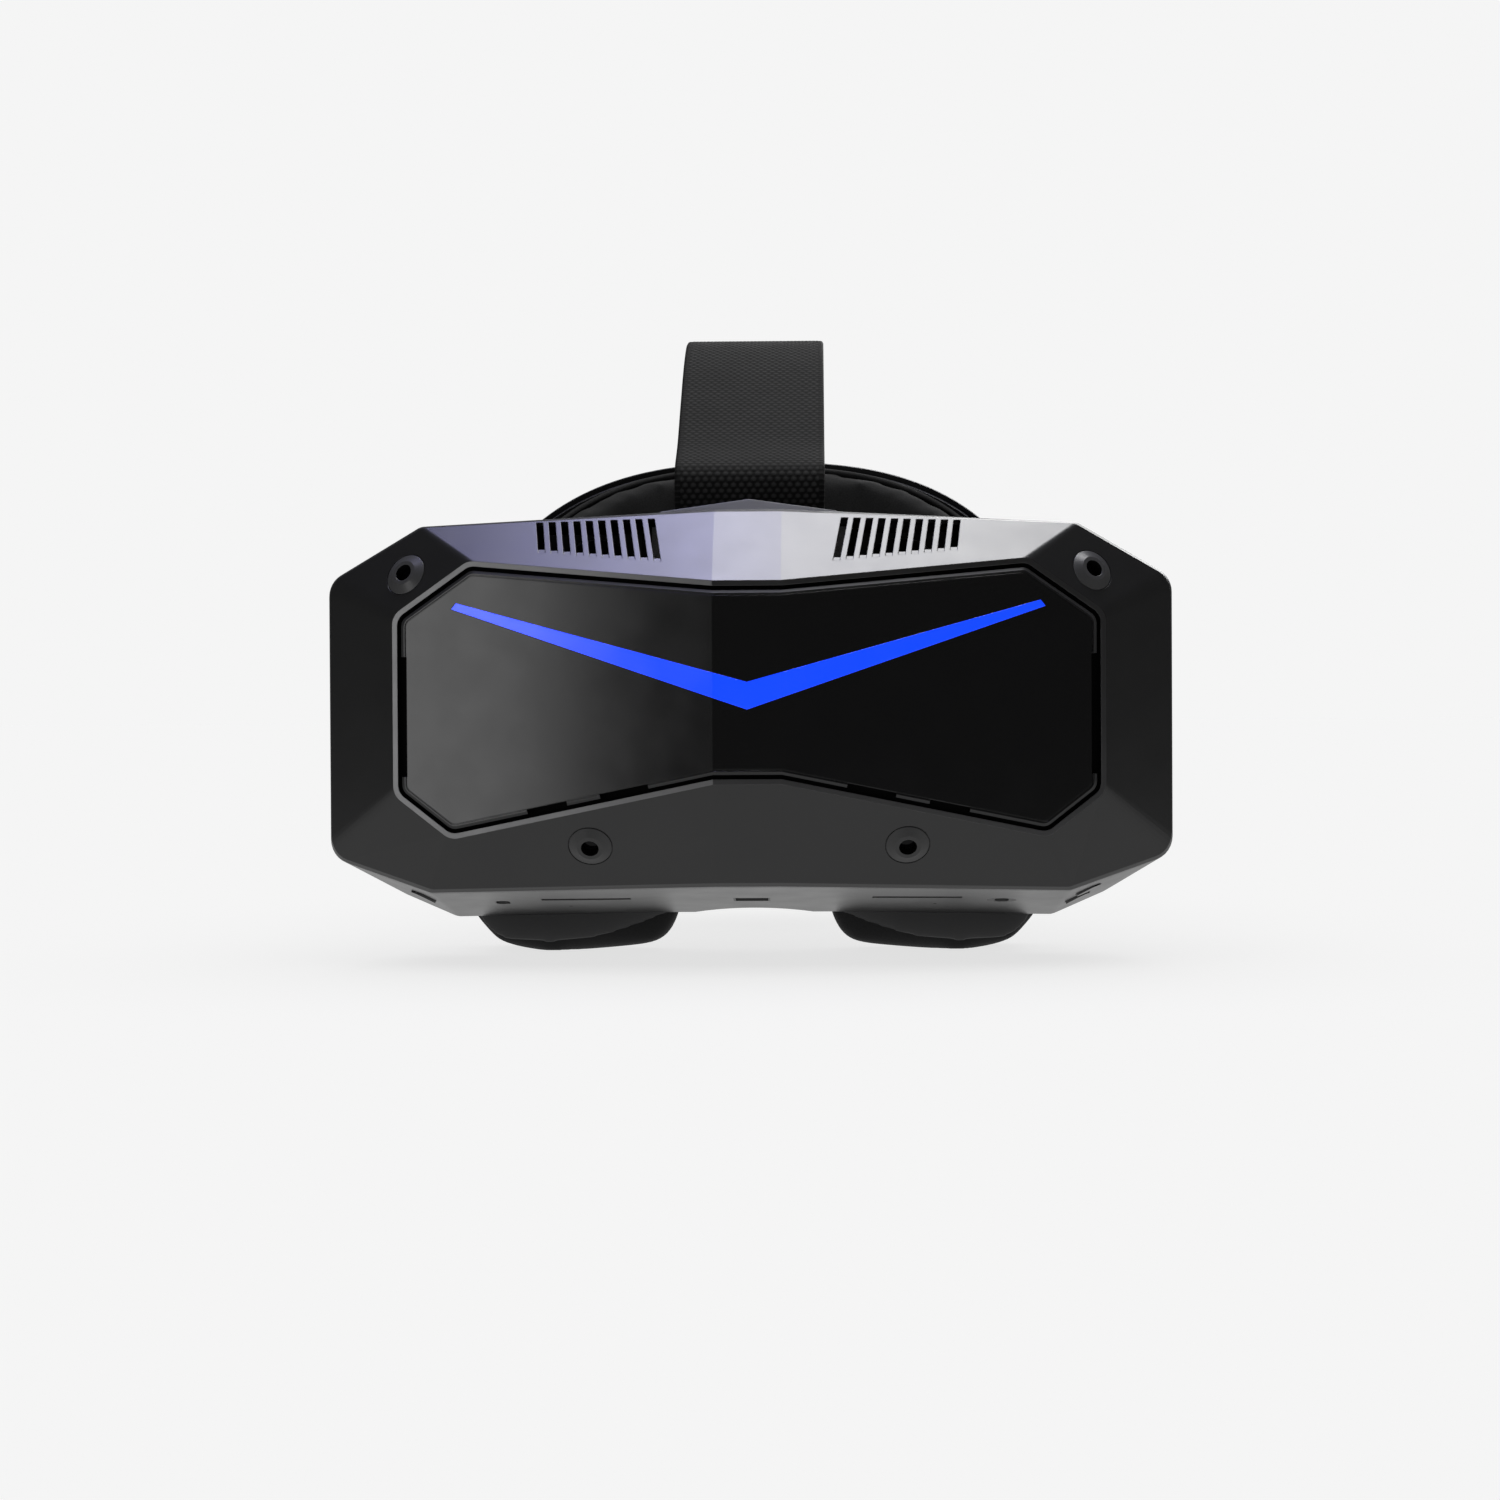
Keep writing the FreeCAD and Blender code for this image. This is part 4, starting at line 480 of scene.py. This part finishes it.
def smooth_path(points, step):
    """Points a step apart along a smooth curve through (depth, z) points."""
    ends = [points[0]] + list(points) + [points[-1]]
    fine = []
    for p0, p1, p2, p3 in zip(ends, ends[1:], ends[2:], ends[3:]):
        for k in range(24):
            t = k / 24
            fine.append([0.5 * (2 * b + (c - a) * t + (2 * a - 5 * b + 4 * c - d) * t * t
                                + (3 * b - a - 3 * c + d) * t ** 3)
                         for a, b, c, d in zip(p0, p1, p2, p3)])
    fine.append(list(points[-1]))
    lengths = [0.0]
    for a, b in zip(fine, fine[1:]):
        lengths.append(lengths[-1] + math.dist(a, b))
    count = max(2, round(lengths[-1] / step))
    result, j = [], 0
    for k in range(count + 1):
        want = lengths[-1] * k / count
        while j < len(lengths) - 2 and lengths[j + 1] < want:
            j += 1
        share = (want - lengths[j]) / max(lengths[j + 1] - lengths[j], 1e-9)
        result.append([a + (b - a) * share for a, b in zip(fine[j], fine[j + 1])])
    return result


def weave_height(along, across):
    """Height of the weave from 0 to 1: staggered picks, with a ribbed selvedge."""
    from_edge = STRAP_WIDTH / 2 - abs(across)
    if from_edge < SELVEDGE:
        return 0.35 + 0.3 * math.cos(2 * math.pi * along / PICK_ALONG)
    row = round(along / PICK_ALONG)
    du = (along - row * PICK_ALONG) / (0.56 * PICK_ALONG)
    shifted = across / PICK_ACROSS + 0.5 * (row % 2)
    dv = (shifted - round(shifted)) * PICK_ACROSS / (0.44 * PICK_ACROSS)
    return math.sqrt(max(0.0, 1 - du * du - dv * dv))


def strap_ring(place, normal, along, columns):
    """One closed cross-section of the strap with its relief, and the relief's height per point."""
    points, heights = [], []
    half = STRAP_WIDTH / 2
    for side in (1, -1):
        order = range(columns + 1) if side == 1 else range(columns - 1, 0, -1)
        for k in order:
            across = -half + STRAP_WIDTH * k / columns
            rounding = min(1.0, (half - abs(across)) / STRAP_ROUND)
            thick = WEAVE_CORE * math.sqrt(max(0.0, 1 - (1 - rounding) ** 2))
            height = weave_height(along, across)
            offset = side * (thick + WEAVE_RELIEF * height * min(1.0, rounding * 2))
            points.append(at(across, place[0] + normal[0] * offset, place[1] + normal[1] * offset))
            heights.append(height)
    return points, heights


def strap_mesh(name, path, material="webbing"):
    """A woven strap along a path of (depth, z) points."""
    line = smooth_path(path, PICK_ALONG / 4)
    columns = round(STRAP_WIDTH / PICK_ACROSS * 6)
    verts, heights = [], []
    along = 0.0
    for i, place in enumerate(line):
        before, after = line[max(i - 1, 0)], line[min(i + 1, len(line) - 1)]
        run = math.dist(before, after)
        normal = (-(after[1] - before[1]) / run, (after[0] - before[0]) / run)
        if i:
            along += math.dist(line[i - 1], place)
        points, relief = strap_ring(place, normal, along, columns)
        verts += points
        heights += relief
    size = 2 * columns
    faces = []
    for i in range(len(line) - 1):
        for k in range(size):
            n = (k + 1) % size
            faces.append((i * size + k, i * size + n, (i + 1) * size + n, (i + 1) * size + k))
    last = (len(line) - 1) * size
    for k in range(columns):
        faces += end_faces(0, k, size, True)
        faces += end_faces(last, k, size, False)
    obj = add_mesh(name, verts, faces, material)
    attribute = obj.data.attributes.new("weave", "FLOAT", "POINT")
    attribute.data.foreach_set("value", heights)
    return obj


def end_faces(base, k, size, flip):
    """The face that closes column k of a strap's cut end."""
    corners = [k, k + 1, (size - k - 1) % size, (size - k) % size]
    unique = []
    for c in corners:
        if base + c not in unique:
            unique.append(base + c)
    return [tuple(reversed(unique)) if flip else tuple(unique)]


def clip_point(x, along, rise):
    """A point from millimetres in the crown clip's own frame."""
    c, s = math.cos(CLIP_TILT), math.sin(CLIP_TILT)
    return at(x, CLIP_MIDDLE[0] + along * c - rise * s, CLIP_MIDDLE[1] + along * s + rise * c)


def stitch(verts, faces, start, end, up, radius):
    """One thread between two needle holes: a small prism that dips at both ends."""
    along = (end - start).normalized()
    side = along.cross(up)
    base = len(verts)
    for place, lift, size in ((start, -0.4, 0.5), (start.lerp(end, 0.25), 0.6, 1.0),
                              (start.lerp(end, 0.75), 0.6, 1.0), (end, -0.4, 0.5)):
        for k in range(6):
            angle = math.pi * k / 3
            offset = side * math.cos(angle) * size + up * (math.sin(angle) * size + lift)
            verts.append(place + offset * radius)
    for ring in range(3):
        for k in range(6):
            n = (k + 1) % 6
            a, b = base + ring * 6, base + ring * 6 + 6
            faces.append((a + k, a + n, b + n, b + k))


def make_stitches():
    """The sewn box with its cross that holds the two straps together over the clip."""
    half_x, half_y = STITCH_BOX
    corners = [(-half_x, -half_y), (half_x, -half_y), (half_x, half_y), (-half_x, half_y)]
    runs = list(zip(corners, corners[1:] + corners[:1]))
    runs += [(corners[0], corners[2]), (corners[1], corners[3])]
    up = (clip_point(0, 0, 1) - clip_point(0, 0, 0)).normalized()
    verts, faces = [], []
    for (x0, y0), (x1, y1) in runs:
        count = round(math.hypot(x1 - x0, y1 - y0) / STITCH_PITCH)
        for k in range(count):
            t0, t1 = (k + 0.12) / count, (k + 0.88) / count
            ends = [clip_point(x0 + (x1 - x0) * t, y0 + (y1 - y0) * t, STITCH_RISE) for t in (t0, t1)]
            stitch(verts, faces, *ends, up, THREAD_R)
    obj = add_mesh("strap_stitches", verts, faces, "webbing")
    paint(obj, "thread")
    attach(obj, "headband")
    return obj


def make_straps():
    front = strap_mesh("strap_front_webbing", FRONT_PATH)
    rear = strap_mesh("strap_rear_webbing", REAR_PATH)
    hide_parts("top_strap_front")
    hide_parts("top_strap_rear")
    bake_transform(front)
    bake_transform(rear)
    return [front, rear, make_stitches()]


strap_pieces = make_straps()

# ---- padding --------------------------------------------------------------------------------


def copy_of(node_name, name):
    """A new object with the mesh of a CAD node."""
    obj = bpy.data.objects.new(name, frame["nodes"][node_name].data.copy())
    bpy.context.scene.collection.objects.link(obj)
    for key in list(obj.keys()):
        del obj[key]
    return obj


def apply_modifiers(obj):
    evaluated = obj.evaluated_get(bpy.context.evaluated_depsgraph_get())
    mesh = bpy.data.meshes.new_from_object(evaluated)
    obj.modifiers.clear()
    obj.data = mesh


def remesh(obj, voxel, shrink):
    """An even mesh of the shape, a little smaller than it."""
    modifier = obj.modifiers.new("voxels", "REMESH")
    modifier.mode = "VOXEL"
    modifier.voxel_size = voxel
    apply_modifiers(obj)
    normals = [v.normal.copy() for v in obj.data.vertices]
    for vertex, normal in zip(obj.data.vertices, normals):
        vertex.co -= normal * shrink
    obj.data.update()


def inflate(obj, held, cap, pressure=4.0):
    """Swells the mesh as stuffed cloth; held says which points keep still, cap limits the swell."""
    rest = [v.co.copy() for v in obj.data.vertices]
    group = obj.vertex_groups.new(name="held")
    group.add([i for i, co in enumerate(rest) if held(co)], 1.0, "REPLACE")
    cloth = obj.modifiers.new("cloth", "CLOTH")
    cloth.settings.vertex_group_mass = "held"
    cloth.settings.use_pressure = True
    cloth.settings.uniform_pressure_force = pressure
    cloth.settings.tension_stiffness = 12
    cloth.settings.compression_stiffness = 12
    cloth.settings.bending_stiffness = 1.5
    cloth.settings.effector_weights.gravity = 0.0
    cloth.collision_settings.use_collision = False
    for step in range(1, 21):
        bpy.context.scene.frame_set(step)
    apply_modifiers(obj)
    obj.vertex_groups.clear()
    for vertex, start in zip(obj.data.vertices, rest):
        moved = vertex.co - start
        if moved.length > cap:
            vertex.co = start + moved * (cap / moved.length)
    bpy.context.scene.frame_set(1)


def soften(obj, rounds):
    """Evens out a mesh a little."""
    bm = bmesh.new()
    bm.from_mesh(obj.data)
    for _ in range(rounds):
        bmesh.ops.smooth_vert(bm, verts=bm.verts, factor=0.5,
                              use_axis_x=True, use_axis_y=True, use_axis_z=True)
    bm.to_mesh(obj.data)
    bm.free()


def subdivide(obj):
    obj.modifiers.new("finer", "SUBSURF").levels = 1
    apply_modifiers(obj)
    obj.data.shade_smooth()


def padded_copy(node_name, name, material, shrink, held, cap):
    """A stuffed piece in the place of a CAD node."""
    obj = copy_of(node_name, name)
    remesh(obj, CUSHION_VOXEL, shrink)
    soften(obj, 2)
    inflate(obj, held, cap)
    soften(obj, 3)
    subdivide(obj)
    paint(obj, material)
    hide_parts(node_name)
    return obj


def harness_local(point):
    """The harness's own coordinates of a point, in metres."""
    moved = point - PIVOT
    moved.rotate(Matrix.Rotation(-HARNESS_TILT, 3, "X"))
    return moved


CRADLE_R = 113.5 * MM
CRADLE_REACH = 192 * MM    # from the pivots to the cradle's rear face
CRADLE_AXIS = CRADLE_REACH - CRADLE_R
CRADLE_SQUARENESS = 2.8    # 2 would make the cradle's outline an ellipse
PIPING = (101.2, 55.3, 105.6)             # half width, half height and distance from the axis
PIPING_R = 1.3 * MM
GASKET_FRAME = [(0, 141, 0), (60, 140, 14), (97, 115, 30), (98.6, 18, 9), (87.2, 4.4, 10),
                (70, 3.2, 10), (54, 5.2, 16), (40, 9.8, 14), (27, 15, 8), (22, 30, 10),
                (0, 50, 12)]              # half outline: x, z, corner radius
SKIRT_ROUND = (14.0, 4.2)  # how far the skirt's rounding reaches inwards and back
SKIRT_DEPTH = 98.3         # depth of the plane that the skirt's outline is drawn in
FOAM_FRONT = 105.5         # depth behind which the face cushion swells
PAD_HELD = 9.5 * MM        # the rear pad keeps still this near the cradle's rear face
OUTLINE_STEP = 1.5         # distance between an outline's points
SKIRT_VOXEL = 1.7 * MM
CUSHION_VOXEL = 4 * MM
NOSE_VOXEL = 1.3 * MM


def rounded_outline(half, depth):
    """Points a millimetre or so apart round both sides of a half outline."""
    corners = list(half) + [(-x, z, r) for x, z, r in reversed(half[1:-1])]
    points = []
    for i, (x, z, radius) in enumerate(corners):
        here = Vector((x, z))
        before = Vector(corners[i - 1][:2]) - here
        after = Vector(corners[(i + 1) % len(corners)][:2]) - here
        half_angle = before.angle(after) / 2
        reach = radius / math.tan(half_angle)
        start, end = here + before.normalized() * reach, here + after.normalized() * reach
        for k in range(9 if radius else 1):
            t = k / 8
            points.append(start * (1 - t) ** 2 + here * 2 * t * (1 - t) + end * t ** 2)
    fine = []
    for a, b in zip(points, points[1:] + points[:1]):
        steps = max(1, round((b - a).length / OUTLINE_STEP))
        fine += [a.lerp(b, k / steps) for k in range(steps)]
    return [at(point.x, depth, point.y) for point in fine]


def tube(name, points, radius, material, sides=8):
    """A closed round cord through a ring of points."""
    verts, faces = [], []
    count = len(points)
    side = None
    for i, point in enumerate(points):
        along = (points[(i + 1) % count] - points[i - 1]).normalized()
        side = (side - along * side.dot(along)).normalized() if side else along.orthogonal().normalized()
        up = along.cross(side)
        for k in range(sides):
            angle = 2 * math.pi * k / sides
            verts.append(point + (side * math.cos(angle) + up * math.sin(angle)) * radius)
    twist = min(range(sides), key=lambda k: (verts[k] - verts[-sides]).length)
    for i in range(count):
        shift = twist if i == count - 1 else 0
        for k in range(sides):
            here, there = i * sides, (i + 1) % count * sides
            n = (k + 1) % sides
            faces.append((here + k, here + n, there + (n + shift) % sides, there + (k + shift) % sides))
    return add_mesh(name, verts, faces, material)


def near_cradle_shell(point):
    local = harness_local(point)
    return math.hypot(local.x, local.y - CRADLE_AXIS) > CRADLE_R - PAD_HELD


LOBE_TOP = 40 * MM         # the cheek lobes flare out below this height
LOBE_INNER = 40 * MM       # and further out than this
LOBE_RUN = 56 * MM         # distance over which the flare grows outwards
LOBE_FLARE = 0.045
FLARE_FULL = 0.7           # share of the height below which the flare stays the same
GASKET_HALF = 99.2 * MM    # the ear speakers' inner faces are 99.5 mm from the middle


def flare_lobes(obj):
    """Widens the cheek lobes a little towards their lower edge and keeps them over the floor, and
    keeps the rest clear of the ear speakers."""
    for vertex in obj.data.vertices:
        vertex.co.z = max(vertex.co.z, 0.0)
        vertex.co.x = max(-GASKET_HALF, min(GASKET_HALF, vertex.co.x))
        below = 1 - vertex.co.z / LOBE_TOP
        outer = (abs(vertex.co.x) - LOBE_INNER) / LOBE_RUN
        if below > 0 and outer > 0:
            vertex.co.x *= 1 + LOBE_FLARE * min(below, FLARE_FULL) * min(outer, 1.0)


def make_skirt():
    """The gasket's smooth front skirt, rounded back towards its outer edge."""
    obj = copy_of("gasket_frame", "gasket_skirt")
    remesh(obj, SKIRT_VOXEL, 0.0)
    rim = rounded_outline(GASKET_FRAME, SKIRT_DEPTH)
    tree = KDTree(len(rim))
    for i, point in enumerate(rim):
        tree.insert(point, i)
    tree.balance()
    front = min(v.co.y for v in obj.data.vertices)
    rear = max(v.co.y for v in obj.data.vertices)
    reach, back = SKIRT_ROUND[0] * MM, SKIRT_ROUND[1] * MM
    for vertex in obj.data.vertices:
        _, _, distance = tree.find(Vector((vertex.co.x, rim[0].y, vertex.co.z)))
        inwards = 1 - min(1.0, distance / reach)
        share = (rear - vertex.co.y) / (rear - front)
        vertex.co.y += back * (1 - math.sqrt(1 - inwards * inwards)) * share
    soften(obj, 3)
    flare_lobes(obj)
    obj.data.shade_smooth()
    paint(obj, "gasket_plastic")
    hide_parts("gasket_frame")
    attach(obj, "gasket")


def make_nose_flap():
    """The soft rubber flap over the bridge of the nose."""
    obj = copy_of("nose_flap", "nose_cushion")
    remesh(obj, NOSE_VOXEL, 0.1 * MM)
    soften(obj, 4)
    obj.data.shade_smooth()
    paint(obj, "rubber")
    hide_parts("nose_flap")
    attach(obj, "gasket")


def cradle_edge(half_w, half_h, radius, count=160):
    """Points round the cradle's squarish oval, at a distance from its axis."""
    points = []
    for k in range(count):
        angle = 2 * math.pi * k / count
        x = math.copysign(half_w * abs(math.cos(angle)) ** (2 / CRADLE_SQUARENESS),
                          math.cos(angle))
        along = CRADLE_AXIS / MM + math.sqrt(radius * radius - x * x)
        points.append(harness_point(x, along, half_h * math.sin(angle)))
    return points


def make_piping():
    """Sewn piping round the rear pad."""
    pad = tube("cradle_piping", cradle_edge(*PIPING), PIPING_R, "pad_foam")
    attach(pad, "cradle")
    return pad


def make_pads():
    foam_front = FRONT_Y + FOAM_FRONT * MM
    face = padded_copy("face_foam", "face_cushion", "face_foam", -0.6 * MM,
                       lambda point: point.y < foam_front, 3 * MM)
    flare_lobes(face)
    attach(face, "gasket")
    pad = padded_copy("cradle_pad", "cradle_cushion", "pad_foam", 0.4 * MM, near_cradle_shell, 5 * MM)
    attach(pad, "cradle")
    return pad


rear_padding = [make_pads(), make_piping()]
make_skirt()
make_nose_flap()

# ---- stage and light ------------------------------------------------------------------------

PALE = (0.913, 0.913, 0.913)
NEAR_FLOOR = 0.55          # radius of the floor that the object can reflect
HORIZON = 12.0             # radius of the floor and of the dome over it
FLOOR_HEIGHT = -0.5 * MM
BOUNCE_HEIGHT = -0.8 * MM
FLOOR_GLOW = 0.80          # share of the floor's tone that glows
FLOOR_ALBEDO = 0.35
BOUNCE_GLOW = 0.72         # how bright the floor is in reflections
WORLD_LEVEL = 0.08


def stage_material(name, glow, albedo):
    """An even pale surface: most of its brightness glows, the rest takes the object's shadow."""
    material = bpy.data.materials.new(name)
    material.use_nodes = True
    shader = material.node_tree.nodes["Principled BSDF"]
    shader.inputs["Base Color"].default_value = (albedo, albedo, albedo, 1)
    shader.inputs["Roughness"].default_value = 1.0
    shader.inputs["Specular IOR Level"].default_value = 0.0
    shader.inputs["Emission Color"].default_value = (*PALE, 1)
    shader.inputs["Emission Strength"].default_value = glow
    return material


def ring_mesh(name, inner, outer, height, material):
    """A flat ring, or a disc where inner is 0."""
    bm = bmesh.new()
    count = 96
    rims = []
    for radius in (inner, outer):
        if radius == 0:
            rims.append([bm.verts.new((0, 0, height))] * count)
        else:
            rims.append([bm.verts.new((radius * math.cos(2 * math.pi * k / count),
                                       radius * math.sin(2 * math.pi * k / count), height))
                         for k in range(count)])
    for k in range(count):
        n = (k + 1) % count
        corners = []
        for vert in (rims[0][k], rims[1][k], rims[1][n], rims[0][n]):
            if vert not in corners:
                corners.append(vert)
        bm.faces.new(corners)
    mesh = bpy.data.meshes.new(name)
    bm.to_mesh(mesh)
    bm.free()
    obj = bpy.data.objects.new(name, mesh)
    obj.data.materials.append(material)
    bpy.context.scene.collection.objects.link(obj)
    return obj


def make_stage():
    """The floor near the object, the floor out to the horizon, a dimmer disc that stands for the
    floor in reflections, and a dome of the floor's tone."""
    floor = stage_material("floor", FLOOR_GLOW, FLOOR_ALBEDO)
    near = ring_mesh("floor_near", 0, NEAR_FLOOR, FLOOR_HEIGHT, floor)
    far = ring_mesh("floor_far", NEAR_FLOOR, HORIZON, FLOOR_HEIGHT, floor)
    glow = stage_material("bounce", BOUNCE_GLOW, 0.0)
    bounce = ring_mesh("floor_bounce", 0, NEAR_FLOOR, BOUNCE_HEIGHT, glow)
    bounce.visible_camera = False
    bounce.visible_diffuse = False
    bounce.visible_shadow = False
    near.visible_glossy = False
    far.visible_glossy = False
    bpy.ops.mesh.primitive_uv_sphere_add(segments=48, ring_count=24, radius=HORIZON)
    dome = bpy.context.object
    dome.name = "backdrop"
    dome.data.materials.append(stage_material("backdrop", 1.0, 0.0))
    dome.visible_diffuse = False
    dome.visible_glossy = False
    dome.visible_shadow = False
    dome.visible_transmission = False
    return near, far


# name: place, target, size, radiance, colour
LIGHTS = {
    "top_outer": ((-0.265, 0.2, 1.45), (-0.265, 0.2, 0.0), (0.09, 0.9), 6.0, (0.36, 0.36, 1.0)),
    "top_left": ((-0.13, 0.2, 1.45), (-0.13, 0.2, 0.0), (0.17, 0.9), 14.5, (0.66, 0.66, 1.0)),
    "top_right": ((0.20, 0.2, 1.45), (0.20, 0.2, 0.0), (0.48, 0.9), 12.5, (0.99, 0.99, 1.0)),
    "front_left": ((-1.26, -1.71, 0.15), (0, -0.15, 0.1), (0.61, 0.9), 2.8, (1.0, 1.0, 1.0)),
    "rear": ((0.5, 1.6, 0.9), (0, 0.1, 0.15), (1.2, 0.8), 5.0, (1.0, 1.0, 1.0)),
}
TINTED = ("top_outer", "top_left")        # lights that are kept off the straps and the rear pad


def link_light(light, name, objects, state):
    """Lets a light shine on some objects only, or on all but some objects."""
    group = bpy.data.collections.new(name)
    for obj in objects:
        group.objects.link(obj)
    light.light_linking.receiver_collection = group
    for entry in group.collection_objects:
        entry.light_linking.link_state = state


def make_light(name, place, target, size, radiance, colour):
    data = bpy.data.lights.new(name, "AREA")
    data.shape = "RECTANGLE"
    data.size, data.size_y = size
    data.energy = radiance * math.pi * size[0] * size[1]
    data.color = colour
    light = bpy.data.objects.new(name, data)
    bpy.context.scene.collection.objects.link(light)
    light.location = place
    towards = Vector(target) - Vector(place)
    light.rotation_mode = "QUATERNION"
    light.rotation_quaternion = towards.to_track_quat("-Z", "Y")
    light.visible_camera = False
    return light


def make_floor_sun(floors):
    """A very soft sun for the floor alone, which brings its glow up to the backdrop's tone."""
    data = bpy.data.lights.new("floor_sun", "SUN")
    data.angle = math.radians(100)
    missing = PALE[0] * (1 - FLOOR_GLOW)
    data.energy = math.pi * (missing / FLOOR_ALBEDO - WORLD_LEVEL)
    sun = bpy.data.objects.new("floor_sun", data)
    bpy.context.scene.collection.objects.link(sun)
    link_light(sun, "floor_only", floors, "INCLUDE")


def make_world(level):
    world = bpy.data.worlds.new("world")
    world.use_nodes = True
    world.node_tree.nodes["Background"].inputs["Color"].default_value = (level, level, level, 1)
    bpy.context.scene.world = world
    bpy.context.scene.view_settings.view_transform = "Standard"


floor_pieces = make_stage()
make_world(WORLD_LEVEL)
make_floor_sun(floor_pieces)
for light_name, light_values in LIGHTS.items():
    unlit = list(floor_pieces) + (strap_pieces + rear_padding if light_name in TINTED else [])
    link_light(make_light(light_name, *light_values), "not_by_" + light_name, unlit, "EXCLUDE")
